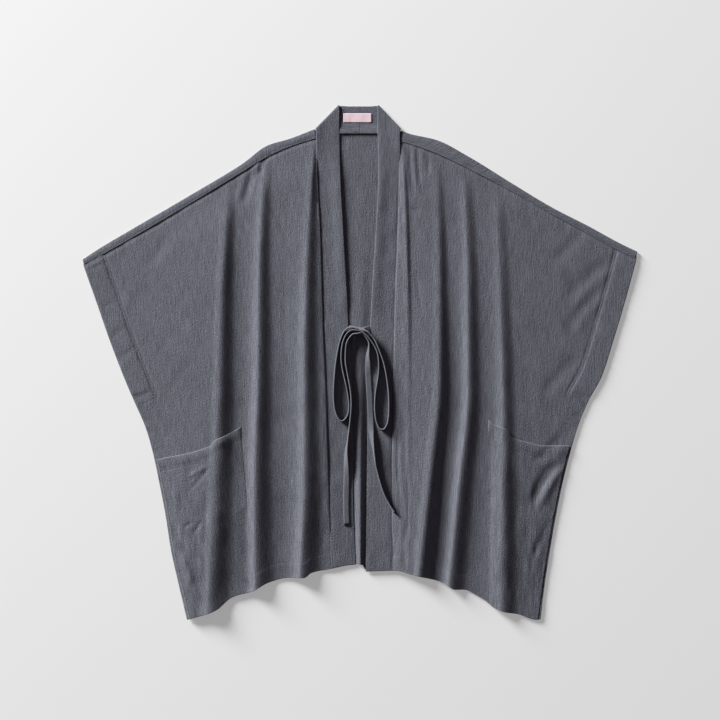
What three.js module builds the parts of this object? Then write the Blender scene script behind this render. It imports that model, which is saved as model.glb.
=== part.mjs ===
import * as THREE from 'three';

// Kimono cardigan laid flat, face up, in millimetres: +Z is up and the neck is towards +Y.
// Right and left are the wearer's, so the right front lies on the -X side.

// Cloth walls and the gaps between pieces
const PANEL_WALL = 1.4;
const BAND_WALL = 1.8;
const POCKET_WALL = 1.2;
const LABEL_WALL = 0.5;
const SEAM_GAP = 0.3;
const LAYER_GAP = 0.35;
const SHOULDER_SEAM_GAP = 0.5;

// Rolls where the cloth turns over, as radii of the middle of the wall
const SHOULDER_ROLL = 1.3;
const NECK_ROLL = 1.6;

// Heights of the middle of each wall
const BACK_LEVEL = PANEL_WALL / 2;
const FRONT_LEVEL = PANEL_WALL + LAYER_GAP + PANEL_WALL / 2;
const SHOULDER_LEVEL = BACK_LEVEL + 2 * SHOULDER_ROLL;
const BAND_LEVEL = PANEL_WALL + LAYER_GAP + BAND_WALL / 2;
const NECK_LEVEL = BAND_WALL / 2 + 2 * NECK_ROLL;
const SETTLE = 0.12; // share of a panel's length over which it comes down from the shoulder

// Shoulder lines, from sleeve tip to neck: fold is the garment's edge, seam is where the back,
// turned over the shoulder, meets the front.
const RIGHT_SHOULDER = [
  { x: -500, fold: 184, seam: 174 },
  { x: -468, fold: 205, seam: 190.5 },
  { x: -419, fold: 234, seam: 218 },
  { x: -299, fold: 304, seam: 288.5 },
  { x: -212, fold: 356.5, seam: 341.5 },
  { x: -166, fold: 390, seam: 369 },
  { x: -126, fold: 402, seam: 387 },
  { x: -80, fold: 420, seam: 402 },
];
const LEFT_SHOULDER = [
  { x: 72, fold: 418, seam: 396.5 },
  { x: 85, fold: 412, seam: 393.5 },
  { x: 138, fold: 399.5, seam: 374.5 },
  { x: 193, fold: 371, seam: 348.5 },
  { x: 275, fold: 320.5, seam: 306 },
  { x: 344, fold: 279, seam: 266.5 },
  { x: 414, fold: 243, seam: 228.5 },
  { x: 463, fold: 216, seam: 201.5 },
  { x: 500, fold: 198, seam: 184 },
];

// Sleeve edges and side seams, from the tips down to the hem's corners
const SIDES = [
  { right: -502.5, left: 498, y: 190 },
  { right: -475, left: 477, y: 112 },
  { right: -450, left: 455.5, y: 40 },
  { right: -425, left: 434.5, y: -25 },
  { right: -407, left: 411.5, y: -68 },
  { right: -385, left: 390.5, y: -119 },
  { right: -372.5, left: 378, y: -162 },
  { right: -360, left: 363.5, y: -220 },
  { right: -349, left: 352, y: -277 },
  { right: -340, left: 342, y: -335 },
  { right: -327.5, left: 333, y: -392 },
  { right: -310.5, left: 324, y: -463 },
];

const HEM = [
  { x: -310, y: -462.5 },
  { x: -281, y: -453.5 },
  { x: -259, y: -444.5 },
  { x: -230, y: -423 },
  { x: -196, y: -412 },
  { x: -166, y: -396.5 },
  { x: -126, y: -387 },
  { x: -99, y: -386.5 },
  { x: -88, y: -378.5 },
  { x: -58, y: -372.5 },
  { x: -8, y: -364 },
  { x: 4, y: -366 },
  { x: 11, y: -376 },
  { x: 65, y: -374.5 },
  { x: 92, y: -381.5 },
  { x: 120, y: -388 },
  { x: 149, y: -396 },
  { x: 169, y: -408 },
  { x: 189, y: -409 },
  { x: 207, y: -417.5 },
  { x: 223, y: -426.5 },
  { x: 241, y: -441 },
  { x: 261, y: -449 },
  { x: 284, y: -453 },
  { x: 317, y: -463 },
  { x: 324, y: -462.5 },
];
const BACK_INSET = 1.5; // the back's sides and hem lie this far inside the fronts'
const TIP_SLOPE = 0.35; // how far a sleeve edge moves in for each millimetre down from its tip

// Neckband halves down the fronts: seam is the edge sewn to the front, free is the open edge.
const RIGHT_BAND = [
  { y: 419, seam: -79, free: -37.5 },
  { y: 345, seam: -78.5, free: -36 },
  { y: 238, seam: -73.5, free: -30.5 },
  { y: 112, seam: -69.5, free: -23.5 },
  { y: 63, seam: -68, free: -21.5 },
  { y: -68, seam: -62.5, free: -14.5 },
  { y: -248, seam: -57, free: -12.5 },
  { y: -364, seam: -51.5, free: -8 },
];
const LEFT_BAND = [
  { y: 419, seam: 72, free: 32 },
  { y: 345, seam: 72, free: 33.5 },
  { y: 238, seam: 69.5, free: 29 },
  { y: 153, seam: 66, free: 23.5 },
  { y: 59, seam: 63.5, free: 19 },
  { y: -68, seam: 61, free: 14.5 },
  { y: -248, seam: 59.5, free: 12.5 },
  { y: -375, seam: 60, free: 11 },
];
// Where the band turns over at the neck side, and where it lies behind the neck
const NECK = {
  seamTurn: 418, freeTurn: 460.5, lower: 411, upper: 459.5, settle: 90, cornerClear: 2.8,
};

// Folds that run down the fronts, from the shoulder seam (0) to the hem (1). Crest and height
// have a value at each of the fractions, rise and fall are the widths of a fold's two flanks at
// the seam and at the hem, and lean is how far the crest hangs over towards +X at the hem.
const FRACTIONS = [0, 0.25, 0.5, 0.75, 1];
const RIGHT_FOLDS = [
  { crest: [-237, -248.5, -254.5, -264, -274], height: [1.5, 8.5, 10.2, 11, 11.5],
    rise: [22, 20], fall: [18, 40], lean: 2 },
  { crest: [-172, -181.5, -184, -190, -189], height: [1.5, 6, 8.4, 10.2, 11.5],
    rise: [15, 18], fall: [16, 38], lean: 1 },
  { crest: [-84, -95, -100, -99.5, -107], height: [1, 5.2, 8.2, 10.2, 11.5],
    rise: [16, 24], fall: [12, 44], lean: 0 },
];
const LEFT_FOLDS = [
  { crest: [76, 83, 85.5, 84, 84], height: [1, 2.8, 1.4, 0.6, 0.4],
    rise: [4, 20], fall: [8, 10], lean: 0 },
  { crest: [136, 140.5, 140, 123, 102.5], height: [1, 4.4, 8, 11, 12.5],
    rise: [14, 14], fall: [14, 24], lean: 3 },
  { crest: [186, 192.5, 193, 178, 160], height: [1.5, 5, 7.8, 9.6, 11],
    rise: [14, 20], fall: [18, 36], lean: 1 },
  { crest: [245, 251, 256, 256, 254], height: [1, 3.5, 6.5, 8.6, 10],
    rise: [16, 22], fall: [18, 28], lean: 1 },
];
// The ridge of the back that shows between the neckband's two free edges
const CENTRE_FOLD = {
  crest: [4, 4, 1, 0, 0], height: [0, 0.5, 2.5, 7, 7], rise: [30, 9], fall: [26, 9], lean: 0,
};
// Height and width of the back's folds under the fronts' folds, as shares of the fronts'
const NESTED_HEIGHT = 0.4;
const NESTED_WIDTH = 0.75;
const LEAST_NESTED = 6; // lowest of the fronts' folds that the back has too
const ROOM_SHARE = 0.96; // most of the room between two crests that their flanks may take
const SOLVE_STEPS = 30; // steps to find where two edges meet, or a height's fraction of a panel

// Pockets: top edge from the inner edge to the side, and the inner edge's distance outside the
// start of a fold at three fractions of the front: the pocket's top, below it and the hem
const POCKET_SIDE_INSET = 10;
const POCKET_FRACTIONS = [0.6, 0.75, 1];
const POCKET_FOLD_CLEAR = 0.2; // least share of the flat between two folds that the pocket leaves
const RIGHT_POCKET = {
  beforeFold: 1, offset: [8, 1, 1],
  top: [
    { x: -367, y: -176.5 },
    { x: -268, y: -150.5 },
    { x: -262, y: -141 },
    { x: -244, y: -133 },
    { x: -219.5, y: -120.5 },
  ],
};
const LEFT_POCKET = {
  beforeFold: 3, offset: [6, 5, 5],
  top: [
    { x: 231.5, y: -104.5 },
    { x: 241, y: -112.5 },
    { x: 264, y: -122.5 },
    { x: 270, y: -133.5 },
    { x: 299, y: -144 },
    { x: 331, y: -150.5 },
    { x: 372.5, y: -150.5 },
  ],
};

// Grid of points on a front: rows above and below the pocket's top edge, and columns
const ROWS_ABOVE_POCKET = 10;
const ROWS_BELOW_POCKET = 8;
const FLANK_COLUMNS = 3;
const GAP_COLUMNS = 2;
const OPEN_COLUMNS = 4;
const OPENING_COLUMNS = 2;
const BACK_ROWS = 12;
const BACK_FLANK_COLUMNS = 2;
const ROLL_ROWS = 5;
const BAND_COLUMNS = 4;
const BAND_ROWS = 28;
const NECK_ROWS = 6;

const LABEL = { width: 50, depth: 16, x: -4.5, y: 439 };

// Ties: straps whose routes list the middle of the strap as x and y, its lift above where it
// would rest on the neckband, and its turn in degrees, from 0 where it lies flat to 90 where it
// stands on its edge.
const TIE_WIDTH = 10.5;
const TIE_WALL = 2.6;
const TIE_STEPS = 2; // strap sections from one point of a route to the next
const TIE_BED = BAND_LEVEL + BAND_WALL / 2 + SEAM_GAP;
const KNOT = { x: 4, y: 55, z: 10, rx: 8, ry: 6.5, rz: 5.8 };
const TIE_ROUTES = {
  tie_right_root: [
    [-20.3, 60.5, -2, 0], [-16, 60, -1.2, 0], [-10.5, 59, -0.4, 0], [-4.6, 57.5, 0.3, 0],
  ],
  tie_right_loop: [
    [-4.8, 60, 3.5, 80], [-13, 62.6, 3, 84], [-23.4, 60.1, 1.8, 88], [-29.9, 52.2, 0.7, 90],
    [-36.4, 36, 0.1, 90], [-41.9, 9, 0.1, 90], [-45.2, -17, 0.1, 90], [-47.2, -50, 0.1, 90],
    [-47.2, -68, 0.1, 90], [-45.2, -85, 0.1, 90], [-40.3, -99, 0.1, 90], [-33.8, -106, 0.1, 90],
    [-26.5, -102, 0.1, 90], [-21.6, -93, 0.1, 90], [-19.8, -80, 0.1, 90], [-21, -64, 0.1, 90],
    [-23.6, -48, 0.1, 90], [-27.6, -30, 0.1, 90], [-31.4, -13, 0.1, 90], [-33.5, 3, 0.1, 90],
    [-33.1, 21, 0.3, 90], [-29.9, 38, 0.8, 90], [-23.4, 50.6, 1.8, 88], [-15, 56.6, 2.8, 84],
    [-5.2, 56, 3.5, 80],
  ],
  tie_right_tail: [
    [-4.8, 51.6, 2.9, 80], [-12.2, 50.6, 2.2, 84], [-19.4, 43.5, 1.1, 88], [-24.3, 32.8, 0.3, 90],
    [-25.9, 16.7, 0.1, 90], [-25.9, -1, 0.1, 90], [-23.4, -16, 0.1, 90], [-20.6, -31, 0.1, 90],
    [-17.8, -46, 0.1, 90], [-16, -62, 0.1, 90], [-15.6, -80, 0.1, 90], [-17, -97, 0.1, 90],
    [-18.8, -115, 0.1, 90], [-22, -140, 0.2, 85], [-24.6, -162, 0.3, 66], [-24.6, -185, 0.3, 32],
    [-24, -207, 0.1, 6], [-24.6, -232, 0.1, 0], [-25, -261, 0.1, 0], [-23.8, -293, 0.1, 0],
  ],
  tie_left_root: [[17.4, 60.5, -2, 0], [15.6, 60, -1.3, 0], [12.6, 58.6, 0.2, 0]],
  tie_left_loop: [
    [13.4, 53.6, 3.5, 80], [18.4, 49.6, 2.9, 84], [26.3, 40, 1.7, 88], [34.2, 21.6, 0.5, 90],
    [40.9, 4, 0.1, 90], [45.7, -15.5, 0.1, 90], [49, -36, 0.1, 90], [51.4, -57, 0.1, 90],
    [52, -78, 0.1, 90], [51.3, -97, 0.1, 90], [48.6, -111.5, 0.1, 90], [42.5, -120.5, 0.1, 90],
    [35.5, -119.5, 0.1, 90], [29.8, -108.5, 0.1, 90], [26.8, -90, 0.1, 90], [26.6, -71, 0.1, 90],
    [28.8, -49, 0.1, 90], [32, -30, 0.1, 90], [33.7, -10.5, 0.1, 90], [32.8, 9, 0.4, 90],
    [28.8, 23.4, 1, 90], [23, 34, 1.8, 88], [15.8, 44, 2.9, 84], [11, 48.8, 3.3, 80],
  ],
  tie_left_tail: [
    [7.4, 47.4, 0.6, 80], [12, 42, 0.2, 86], [15.6, 35, 0.1, 88], [15.6, 25, 0.1, 80],
    [14, 12, 0.3, 56], [14.4, -4, 0.3, 20], [14.9, -21.5, 0.1, 0], [15.8, -41, 0.1, 0],
    [17.2, -62, 0.1, 0], [18.2, -81, 0.1, 0], [19, -101, 0.2, 4], [19.8, -120, 0.3, 18],
    [21.4, -138, 0.3, 48], [24.2, -156, 0.2, 78], [28.6, -187, 0.1, 90], [34.2, -209, 0.1, 90],
    [43.2, -237, 0.1, 90], [53.5, -257, 0.3, 88], [62, -270, 0.5, 84],
  ],
};

// ---------------------------------------------------------------- curves through tables

const mix = (a, b, share) => a + (b - a) * share;
const clamp01 = (value) => Math.min(1, Math.max(0, value));
const ease = (value) => (1 - Math.cos(Math.PI * clamp01(value))) / 2;

// A smooth curve through points, which never swings past them.
function curveThrough(xs, ys) {
  const order = xs.map((_, i) => i).sort((a, b) => xs[a] - xs[b]);
  const x = order.map((i) => xs[i]);
  const y = order.map((i) => ys[i]);
  const last = x.length - 1;
  const slope = x.slice(0, last).map((_, i) => (y[i + 1] - y[i]) / (x[i + 1] - x[i]));
  const bend = x.map((_, i) => {
    if (i === 0) return slope[0];
    if (i === last) return slope[last - 1];
    const [a, b] = [slope[i - 1], slope[i]];
    return a * b <= 0 ? 0 : (2 * a * b) / (a + b);
  });
  return (at) => {
    if (at <= x[0]) return y[0] + bend[0] * (at - x[0]);
    if (at >= x[last]) return y[last] + bend[last] * (at - x[last]);
    let i = 0;
    while (at > x[i + 1]) i += 1;
    const span = x[i + 1] - x[i];
    const u = (at - x[i]) / span;
    const v = 1 - u;
    return y[i] * v * v * (1 + 2 * u) + y[i + 1] * u * u * (1 + 2 * v)
      + span * u * v * (bend[i] * v - bend[i + 1] * u);
  };
}

const column = (rows, name) => rows.map((row) => row[name]);
const curveOf = (rows, from, to) => curveThrough(column(rows, from), column(rows, to));

const hemAt = curveOf(HEM, 'x', 'y');

// ---------------------------------------------------------------- cloth walls

// A closed wall of even thickness about a grid of points. Rows run away from +Y or against the
// wall's outer side, columns run to the right, and keep says which cells of the grid have cloth.
function clothWall(grid, wall, keep = () => true) {
  const rows = grid.length - 1;
  const columns = grid[0].length - 1;
  const has = (i, j) => i >= 0 && j >= 0 && i < rows && j < columns && keep(i, j);
  const beside = (i, j, di, dj) => {
    const row = Math.min(i, i + di);
    const col = Math.min(j, j + dj);
    const joined = di ? has(row, j) || has(row, j - 1) : has(i, col) || has(i - 1, col);
    return joined ? grid[i + di][j + dj] : grid[i][j];
  };
  const normalAt = (i, j) => {
    const across = beside(i, j, 0, 1).clone().sub(beside(i, j, 0, -1));
    const along = beside(i, j, -1, 0).clone().sub(beside(i, j, 1, 0));
    return across.cross(along).normalize();
  };
  const positions = [];
  const index = new Map();
  const corner = (i, j) => {
    const key = i * (columns + 1) + j;
    if (!index.has(key)) {
      const half = normalAt(i, j).multiplyScalar(wall / 2);
      index.set(key, positions.length / 3);
      positions.push(...grid[i][j].clone().add(half), ...grid[i][j].clone().sub(half));
    }
    return index.get(key);
  };
  const triangles = [];
  const quad = (a, b, c, d) => triangles.push(a, b, c, a, c, d);
  const rim = (from, to) => quad(to, from, from + 1, to + 1);
  for (let i = 0; i < rows; i += 1) {
    for (let j = 0; j < columns; j += 1) {
      if (!has(i, j)) continue;
      const [a, b, c, d] = [corner(i, j), corner(i + 1, j), corner(i + 1, j + 1), corner(i, j + 1)];
      quad(a, b, c, d);
      quad(a + 1, d + 1, c + 1, b + 1);
      if (!has(i, j - 1)) rim(a, b);
      if (!has(i + 1, j)) rim(b, c);
      if (!has(i, j + 1)) rim(c, d);
      if (!has(i - 1, j)) rim(d, a);
    }
  }
  const geometry = new THREE.BufferGeometry();
  geometry.setAttribute('position', new THREE.Float32BufferAttribute(positions, 3));
  geometry.setIndex(triangles);
  geometry.computeVertexNormals();
  return geometry;
}

// Points spaced evenly between guide lines that cross a panel at one height.
function spread(guides, counts) {
  const places = [guides[0]];
  counts.forEach((count, k) => {
    for (let n = 1; n <= count; n += 1) places.push(mix(guides[k], guides[k + 1], n / count));
  });
  return places;
}

// ---------------------------------------------------------------- folds

function foldCurves(fold) {
  return {
    crest: curveThrough(FRACTIONS, fold.crest),
    height: curveThrough(FRACTIONS, fold.height),
    rise: (t) => mix(fold.rise[0], fold.rise[1], t),
    fall: (t) => mix(fold.fall[0], fold.fall[1], t),
    lean: (t) => fold.lean * t,
  };
}

const fitted = (own, other, room) => Math.min(own, (own * room * ROOM_SHARE) / (own + other));

// Where a panel's fold starts, crests and ends at a height, with its flanks kept clear of the
// next folds and of the panel's edges.
function foldSpan(panel, k, t) {
  const { folds } = panel;
  const crest = folds[k].crest(t);
  const before = k > 0 ? folds[k - 1] : null;
  const after = k < folds.length - 1 ? folds[k + 1] : null;
  const roomBefore = crest - (before ? before.crest(t) : panel.left(t));
  const roomAfter = (after ? after.crest(t) : panel.right(t)) - crest;
  return {
    start: crest - fitted(folds[k].rise(t), before ? before.fall(t) : 0, roomBefore),
    crest,
    end: crest + fitted(folds[k].fall(t), after ? after.rise(t) : 0, roomAfter),
  };
}

// How far the folds lift a point of the panel, and how far they push it towards +X.
function foldLift(panel, x, t) {
  let [lift, push] = [0, 0];
  panel.folds.forEach((fold, k) => {
    const { start, crest, end } = foldSpan(panel, k, t);
    const share = x < crest ? ease((x - start) / (crest - start)) : ease((end - x) / (end - crest));
    lift += share * fold.height(t);
    push += share * fold.lean(t);
  });
  return { lift, push };
}

// ---------------------------------------------------------------- panels

// A panel lies between a left and a right edge, each given as x at a height y, and between a top
// and a bottom edge, each given as y at x. t runs from the top edge (0) to the bottom edge (1).
function makePanel({ leftEdge, rightEdge, top, bottom, folds, level }) {
  const cornerY = (edge, end) => {
    let y = 0;
    for (let n = 0; n < SOLVE_STEPS; n += 1) y = end(edge(y));
    return y;
  };
  const edgeAt = (edge) => {
    const [upper, lower] = [cornerY(edge, top), cornerY(edge, bottom)];
    return (t) => edge(mix(upper, lower, t));
  };
  const panel = {
    left: edgeAt(leftEdge), right: edgeAt(rightEdge), top, bottom, level,
    folds: folds.map(foldCurves),
  };
  panel.heightAt = (x, t) => {
    const share = (x - panel.left(t)) / (panel.right(t) - panel.left(t));
    const topX = mix(panel.left(0), panel.right(0), share);
    const bottomX = mix(panel.left(1), panel.right(1), share);
    return mix(top(topX), bottom(bottomX), t);
  };
  panel.pointAt = (x, t) => {
    const { lift, push } = foldLift(panel, x, t);
    return new THREE.Vector3(x + push, panel.heightAt(x, t), panel.level(t) + lift);
  };
  panel.fractionAt = (x, y) => {
    let [low, high] = [0, 1];
    for (let n = 0; n < SOLVE_STEPS; n += 1) {
      const t = (low + high) / 2;
      if (panel.heightAt(x, t) > y) low = t; else high = t;
    }
    return (low + high) / 2;
  };
  return panel;
}

const frontLevel = (t) => mix(SHOULDER_LEVEL, FRONT_LEVEL, ease(t / SETTLE));

// Guide lines down a front: its edges, its folds and its pocket's two upright edges.
function frontGuides(panel, pocket, sideIsLeft) {
  const inset = (t) => (sideIsLeft
    ? panel.left(t) + POCKET_SIDE_INSET : panel.right(t) - POCKET_SIDE_INSET);
  const offset = curveThrough(POCKET_FRACTIONS, pocket.offset);
  const guides = [{ at: panel.left, columns: sideIsLeft ? 1 : FLANK_COLUMNS - 1 }];
  if (sideIsLeft) guides.push({ at: inset, columns: OPEN_COLUMNS });
  panel.folds.forEach((_, k) => {
    const span = (t) => foldSpan(panel, k, t);
    if (k === pocket.beforeFold) {
      guides.at(-1).columns = 1;
      const previous = (t) => foldSpan(panel, k - 1, t).end;
      const inner = (t) => Math.max(mix(previous(t), span(t).start, POCKET_FOLD_CLEAR),
        span(t).start - offset(Math.max(t, POCKET_FRACTIONS[0])));
      guides.push({ at: inner, columns: 1, pocketEdge: true });
    }
    guides.push({ at: (t) => span(t).start, columns: FLANK_COLUMNS });
    guides.push({ at: (t) => span(t).crest, columns: FLANK_COLUMNS });
    guides.push({ at: (t) => span(t).end, columns: GAP_COLUMNS });
  });
  if (!sideIsLeft) {
    guides.at(-1).columns = OPEN_COLUMNS;
    guides.push({ at: inset, columns: 1 });
  }
  guides.push({ at: panel.right, columns: 0 });
  return guides;
}

// The front's grid of points, with one row along the pocket's top edge.
function frontGrid(panel, pocket, guides) {
  const top = curveOf(pocket.top, 'x', 'y');
  const [firstX, lastX] = [pocket.top[0].x, pocket.top.at(-1).x];
  const pocketFraction = (x) => {
    const within = Math.min(lastX, Math.max(firstX, x));
    return panel.fractionAt(within, top(within));
  };
  const rows = ROWS_ABOVE_POCKET + ROWS_BELOW_POCKET;
  const counts = guides.slice(0, -1).map((guide) => guide.columns);
  const acrossAt = (t) => spread(guides.map((guide) => guide.at(t)), counts);
  const total = counts.reduce((sum, count) => sum + count, 0);
  const grid = [];
  for (let i = 0; i <= rows; i += 1) {
    const row = [];
    for (let j = 0; j <= total; j += 1) {
      let t = i / rows;
      for (let n = 0; n < 3; n += 1) {
        const split = pocketFraction(acrossAt(t)[j]);
        t = i < ROWS_ABOVE_POCKET
          ? split * (i / ROWS_ABOVE_POCKET)
          : mix(split, 1, (i - ROWS_ABOVE_POCKET) / ROWS_BELOW_POCKET);
      }
      row.push(panel.pointAt(acrossAt(t)[j], t));
    }
    grid.push(row);
  }
  return grid;
}

// The part of a front's grid that the pocket covers, moved out to lie on the front.
function pocketGrid(grid, guides, sideIsLeft) {
  const edge = guides.findIndex((guide) => guide.pocketEdge);
  const inner = guides.slice(0, edge).reduce((sum, guide) => sum + guide.columns, 0);
  const [first, last] = sideIsLeft ? [1, inner] : [inner, grid[0].length - 2];
  const reach = PANEL_WALL / 2 + SEAM_GAP + POCKET_WALL / 2;
  return grid.slice(ROWS_ABOVE_POCKET).map((row, n) => {
    const i = n + ROWS_ABOVE_POCKET;
    return row.slice(first, last + 1).map((point, m) => {
      const j = m + first;
      const below = grid[Math.min(i + 1, grid.length - 1)][j];
      const across = grid[i][j + 1].clone().sub(grid[i][j - 1]);
      const along = grid[i - 1][j].clone().sub(below);
      return point.clone().addScaledVector(across.cross(along).normalize(), reach);
    });
  });
}

function makeFront({ shoulder, side, band, folds, pocket, sideIsLeft }) {
  const sideEdge = curveOf(SIDES, 'y', side);
  const seam = curveOf(band, 'y', 'seam');
  const bandEdge = (y) => seam(y) + (sideIsLeft ? -SEAM_GAP : SEAM_GAP);
  const shoulderSeam = curveOf(shoulder, 'x', 'seam');
  const panel = makePanel({
    leftEdge: sideIsLeft ? sideEdge : bandEdge,
    rightEdge: sideIsLeft ? bandEdge : sideEdge,
    top: (x) => shoulderSeam(x) - SHOULDER_SEAM_GAP,
    bottom: hemAt,
    folds,
    level: frontLevel,
  });
  const guides = frontGuides(panel, pocket, sideIsLeft);
  const grid = frontGrid(panel, pocket, guides);
  return { panel, grid, pocketGrid: pocketGrid(grid, guides, sideIsLeft) };
}

// ---------------------------------------------------------------- back

// The back's three stretches: under the right front, behind the neck opening, and under the left.
function backStretches() {
  const inset = (edge, by) => (y) => edge(y) + by;
  const sides = [curveOf(SIDES, 'y', 'right'), curveOf(SIDES, 'y', 'left')];
  const clear = (y) => NECK.cornerClear * ease((y - NECK.seamTurn) / NECK.settle + 1);
  const seams = [curveOf(RIGHT_BAND, 'y', 'seam'), curveOf(LEFT_BAND, 'y', 'seam')];
  const bands = [(y) => seams[0](y) - clear(y), (y) => seams[1](y) + clear(y)];
  const free = [curveOf(RIGHT_BAND, 'y', 'free'), curveOf(LEFT_BAND, 'y', 'free')];
  const rollDepth = SHOULDER_ROLL + PANEL_WALL / 2;
  const shoulderTop = (rows) => {
    const fold = curveOf(rows, 'x', 'fold');
    return (x) => fold(x) - rollDepth;
  };
  const bottom = (x) => hemAt(x) + BACK_INSET;
  const level = () => BACK_LEVEL;
  const nested = (folds) => folds
    .filter((fold) => Math.max(...fold.height) > LEAST_NESTED)
    .map((fold) => ({
      crest: fold.crest,
      height: fold.height.map((height) => height * NESTED_HEIGHT),
      rise: fold.rise.map((width) => width * NESTED_WIDTH),
      fall: fold.fall.map((width) => width * NESTED_WIDTH),
      lean: 0,
    }));
  const neckline = () => NECK.lower - SEAM_GAP;
  const opening = makePanel({
    leftEdge: bands[0], rightEdge: bands[1], top: neckline, bottom, folds: [], level,
  });
  const between = free.map((edge) => (t) => edge(mix(NECK.lower, hemAt(0), t)));
  opening.ridge = { folds: [foldCurves(CENTRE_FOLD)], left: between[0], right: between[1] };
  return {
    right: makePanel({
      leftEdge: inset(sides[0], BACK_INSET), rightEdge: bands[0],
      top: shoulderTop(RIGHT_SHOULDER), bottom, folds: nested(RIGHT_FOLDS), level,
    }),
    opening,
    left: makePanel({
      leftEdge: bands[1], rightEdge: inset(sides[1], -BACK_INSET),
      top: shoulderTop(LEFT_SHOULDER), bottom, folds: nested(LEFT_FOLDS), level,
    }),
  };
}

function stretchRow(panel, t, skipFirst) {
  const guides = [panel.left(t)];
  const counts = [];
  panel.folds.forEach((_, k) => {
    const { start, crest, end } = foldSpan(panel, k, t);
    guides.push(start, crest, end);
    counts.push(OPEN_COLUMNS - 1, BACK_FLANK_COLUMNS, BACK_FLANK_COLUMNS);
  });
  guides.push(panel.right(t));
  counts.push(OPEN_COLUMNS - 1);
  return spread(guides, counts).slice(skipFirst ? 1 : 0).map((x) => panel.pointAt(x, t));
}

function openingRow(opening, t) {
  const { ridge } = opening;
  const { start, crest, end } = foldSpan(ridge, 0, t);
  const guides = [opening.left(t), start, crest, end, opening.right(t)];
  const counts = [OPENING_COLUMNS, FLANK_COLUMNS, FLANK_COLUMNS, OPENING_COLUMNS];
  return spread(guides, counts).slice(1).map((x) => {
    const point = opening.pointAt(x, t);
    point.z += foldLift(ridge, x, t).lift;
    return point;
  });
}

// The cloth past the shoulder line: round the roll and forward to the seam, where its neck end
// meets the neckband.
function rolledRows(shoulder, band, line, side) {
  const seam = curveOf(shoulder, 'x', 'seam');
  const bandSeam = curveOf(band, 'y', 'seam');
  const [tipX, neckX] = side < 0 ? [line[0].x, line.at(-1).x] : [line.at(-1).x, line[0].x];
  const rows = [];
  for (let n = 1; n <= ROLL_ROWS; n += 1) {
    const turn = (Math.PI * n) / ROLL_ROWS;
    rows.push(line.map((p) => new THREE.Vector3(p.x, p.y + SHOULDER_ROLL * Math.sin(turn),
      BACK_LEVEL + SHOULDER_ROLL * (1 - Math.cos(turn)))));
  }
  const forward = line.map((p) => {
    const tipness = (p.x - neckX) / (tipX - neckX);
    const x = p.x === neckX
      ? bandSeam(seam(p.x)) + side * SEAM_GAP
      : p.x - side * TIP_SLOPE * tipness * (p.y - seam(p.x));
    return new THREE.Vector3(x, seam(x), SHOULDER_LEVEL);
  });
  rows.push(forward);
  return rows;
}

function makeBack() {
  const { right, opening, left } = backStretches();
  const grid = [];
  let counts = [];
  for (let i = 0; i <= BACK_ROWS; i += 1) {
    const t = i / BACK_ROWS;
    const parts = [stretchRow(right, t), openingRow(opening, t), stretchRow(left, t, true)];
    counts = parts.map((part) => part.length);
    grid.push(parts.flat());
  }
  const rightLine = grid[0].slice(0, counts[0]);
  const openLine = grid[0].slice(counts[0], counts[0] + counts[1]);
  const leftLine = [openLine.at(-1), ...grid[0].slice(counts[0] + counts[1])];
  const rightRolled = rolledRows(RIGHT_SHOULDER, RIGHT_BAND, rightLine, -1);
  const leftRolled = rolledRows(LEFT_SHOULDER, LEFT_BAND, leftLine, 1);
  // The rolls end at the neckband, so the points between them only fill the rows up.
  rightRolled.forEach((row, n) => grid.unshift([...row, ...openLine.slice(0, -1), ...leftRolled[n]]));
  const neckRight = counts[0] - 1;
  const neckLeft = counts[0] + counts[1] - 1;
  const rolled = rightRolled.length;
  return clothWall(grid, PANEL_WALL, (i, j) => i >= rolled || j < neckRight || j >= neckLeft);
}

// ---------------------------------------------------------------- neckband

// Half of the neckband: up the front, over the slanting turn at the neck side, and behind the
// neck to the centre back. side is -1 for the right half and 1 for the left.
function makeBand(rows, side) {
  const seam = curveOf(rows, 'y', 'seam');
  const free = curveOf(rows, 'y', 'free');
  const out = new THREE.Vector3(side, 1, 0).normalize();
  const grid = [];
  const turnY = (w) => mix(NECK.seamTurn, NECK.freeTurn, w);
  const xAt = (w, y) => {
    const level = Math.min(y, rows[0].y);
    return mix(seam(level), free(level), w);
  };
  const levelAt = (y, w) => mix(NECK_LEVEL, BAND_LEVEL, ease((turnY(w) - y) / NECK.settle));
  const shares = Array.from({ length: BAND_COLUMNS + 1 }, (_, n) => n / BAND_COLUMNS);
  for (let n = 0; n <= NECK_ROWS; n += 1) {
    const v = 1 - n / NECK_ROWS;
    grid.push(shares.map((w) => new THREE.Vector3(
      mix(xAt(w, turnY(w)), (side * SEAM_GAP) / 2, v),
      mix(turnY(w), mix(NECK.lower + SEAM_GAP, NECK.upper, w), ease(2 * v)),
      BAND_WALL / 2,
    )));
  }
  for (let n = 1; n <= ROLL_ROWS; n += 1) {
    const turn = (Math.PI * n) / ROLL_ROWS;
    grid.push(shares.map((w) => new THREE.Vector3(xAt(w, turnY(w)), turnY(w),
      BAND_WALL / 2 + NECK_ROLL * (1 - Math.cos(turn)))
      .addScaledVector(out, NECK_ROLL * Math.sin(turn))));
  }
  for (let n = 1; n <= BAND_ROWS; n += 1) {
    grid.push(shares.map((w) => {
      const hem = hemAt(mix(rows.at(-1).seam, rows.at(-1).free, w));
      const y = mix(turnY(w), hem, n / BAND_ROWS);
      return new THREE.Vector3(xAt(w, y), y, levelAt(y, w));
    }));
  }
  if (side > 0) grid.forEach((row) => row.reverse());
  return clothWall(grid, BAND_WALL);
}

// ---------------------------------------------------------------- ties, knot and label

// Half of the height that a strap takes up at a turn.
function strapReach(turn) {
  const angle = THREE.MathUtils.degToRad(turn);
  return (TIE_WIDTH * Math.sin(angle) + TIE_WALL * Math.cos(angle)) / 2;
}

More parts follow.
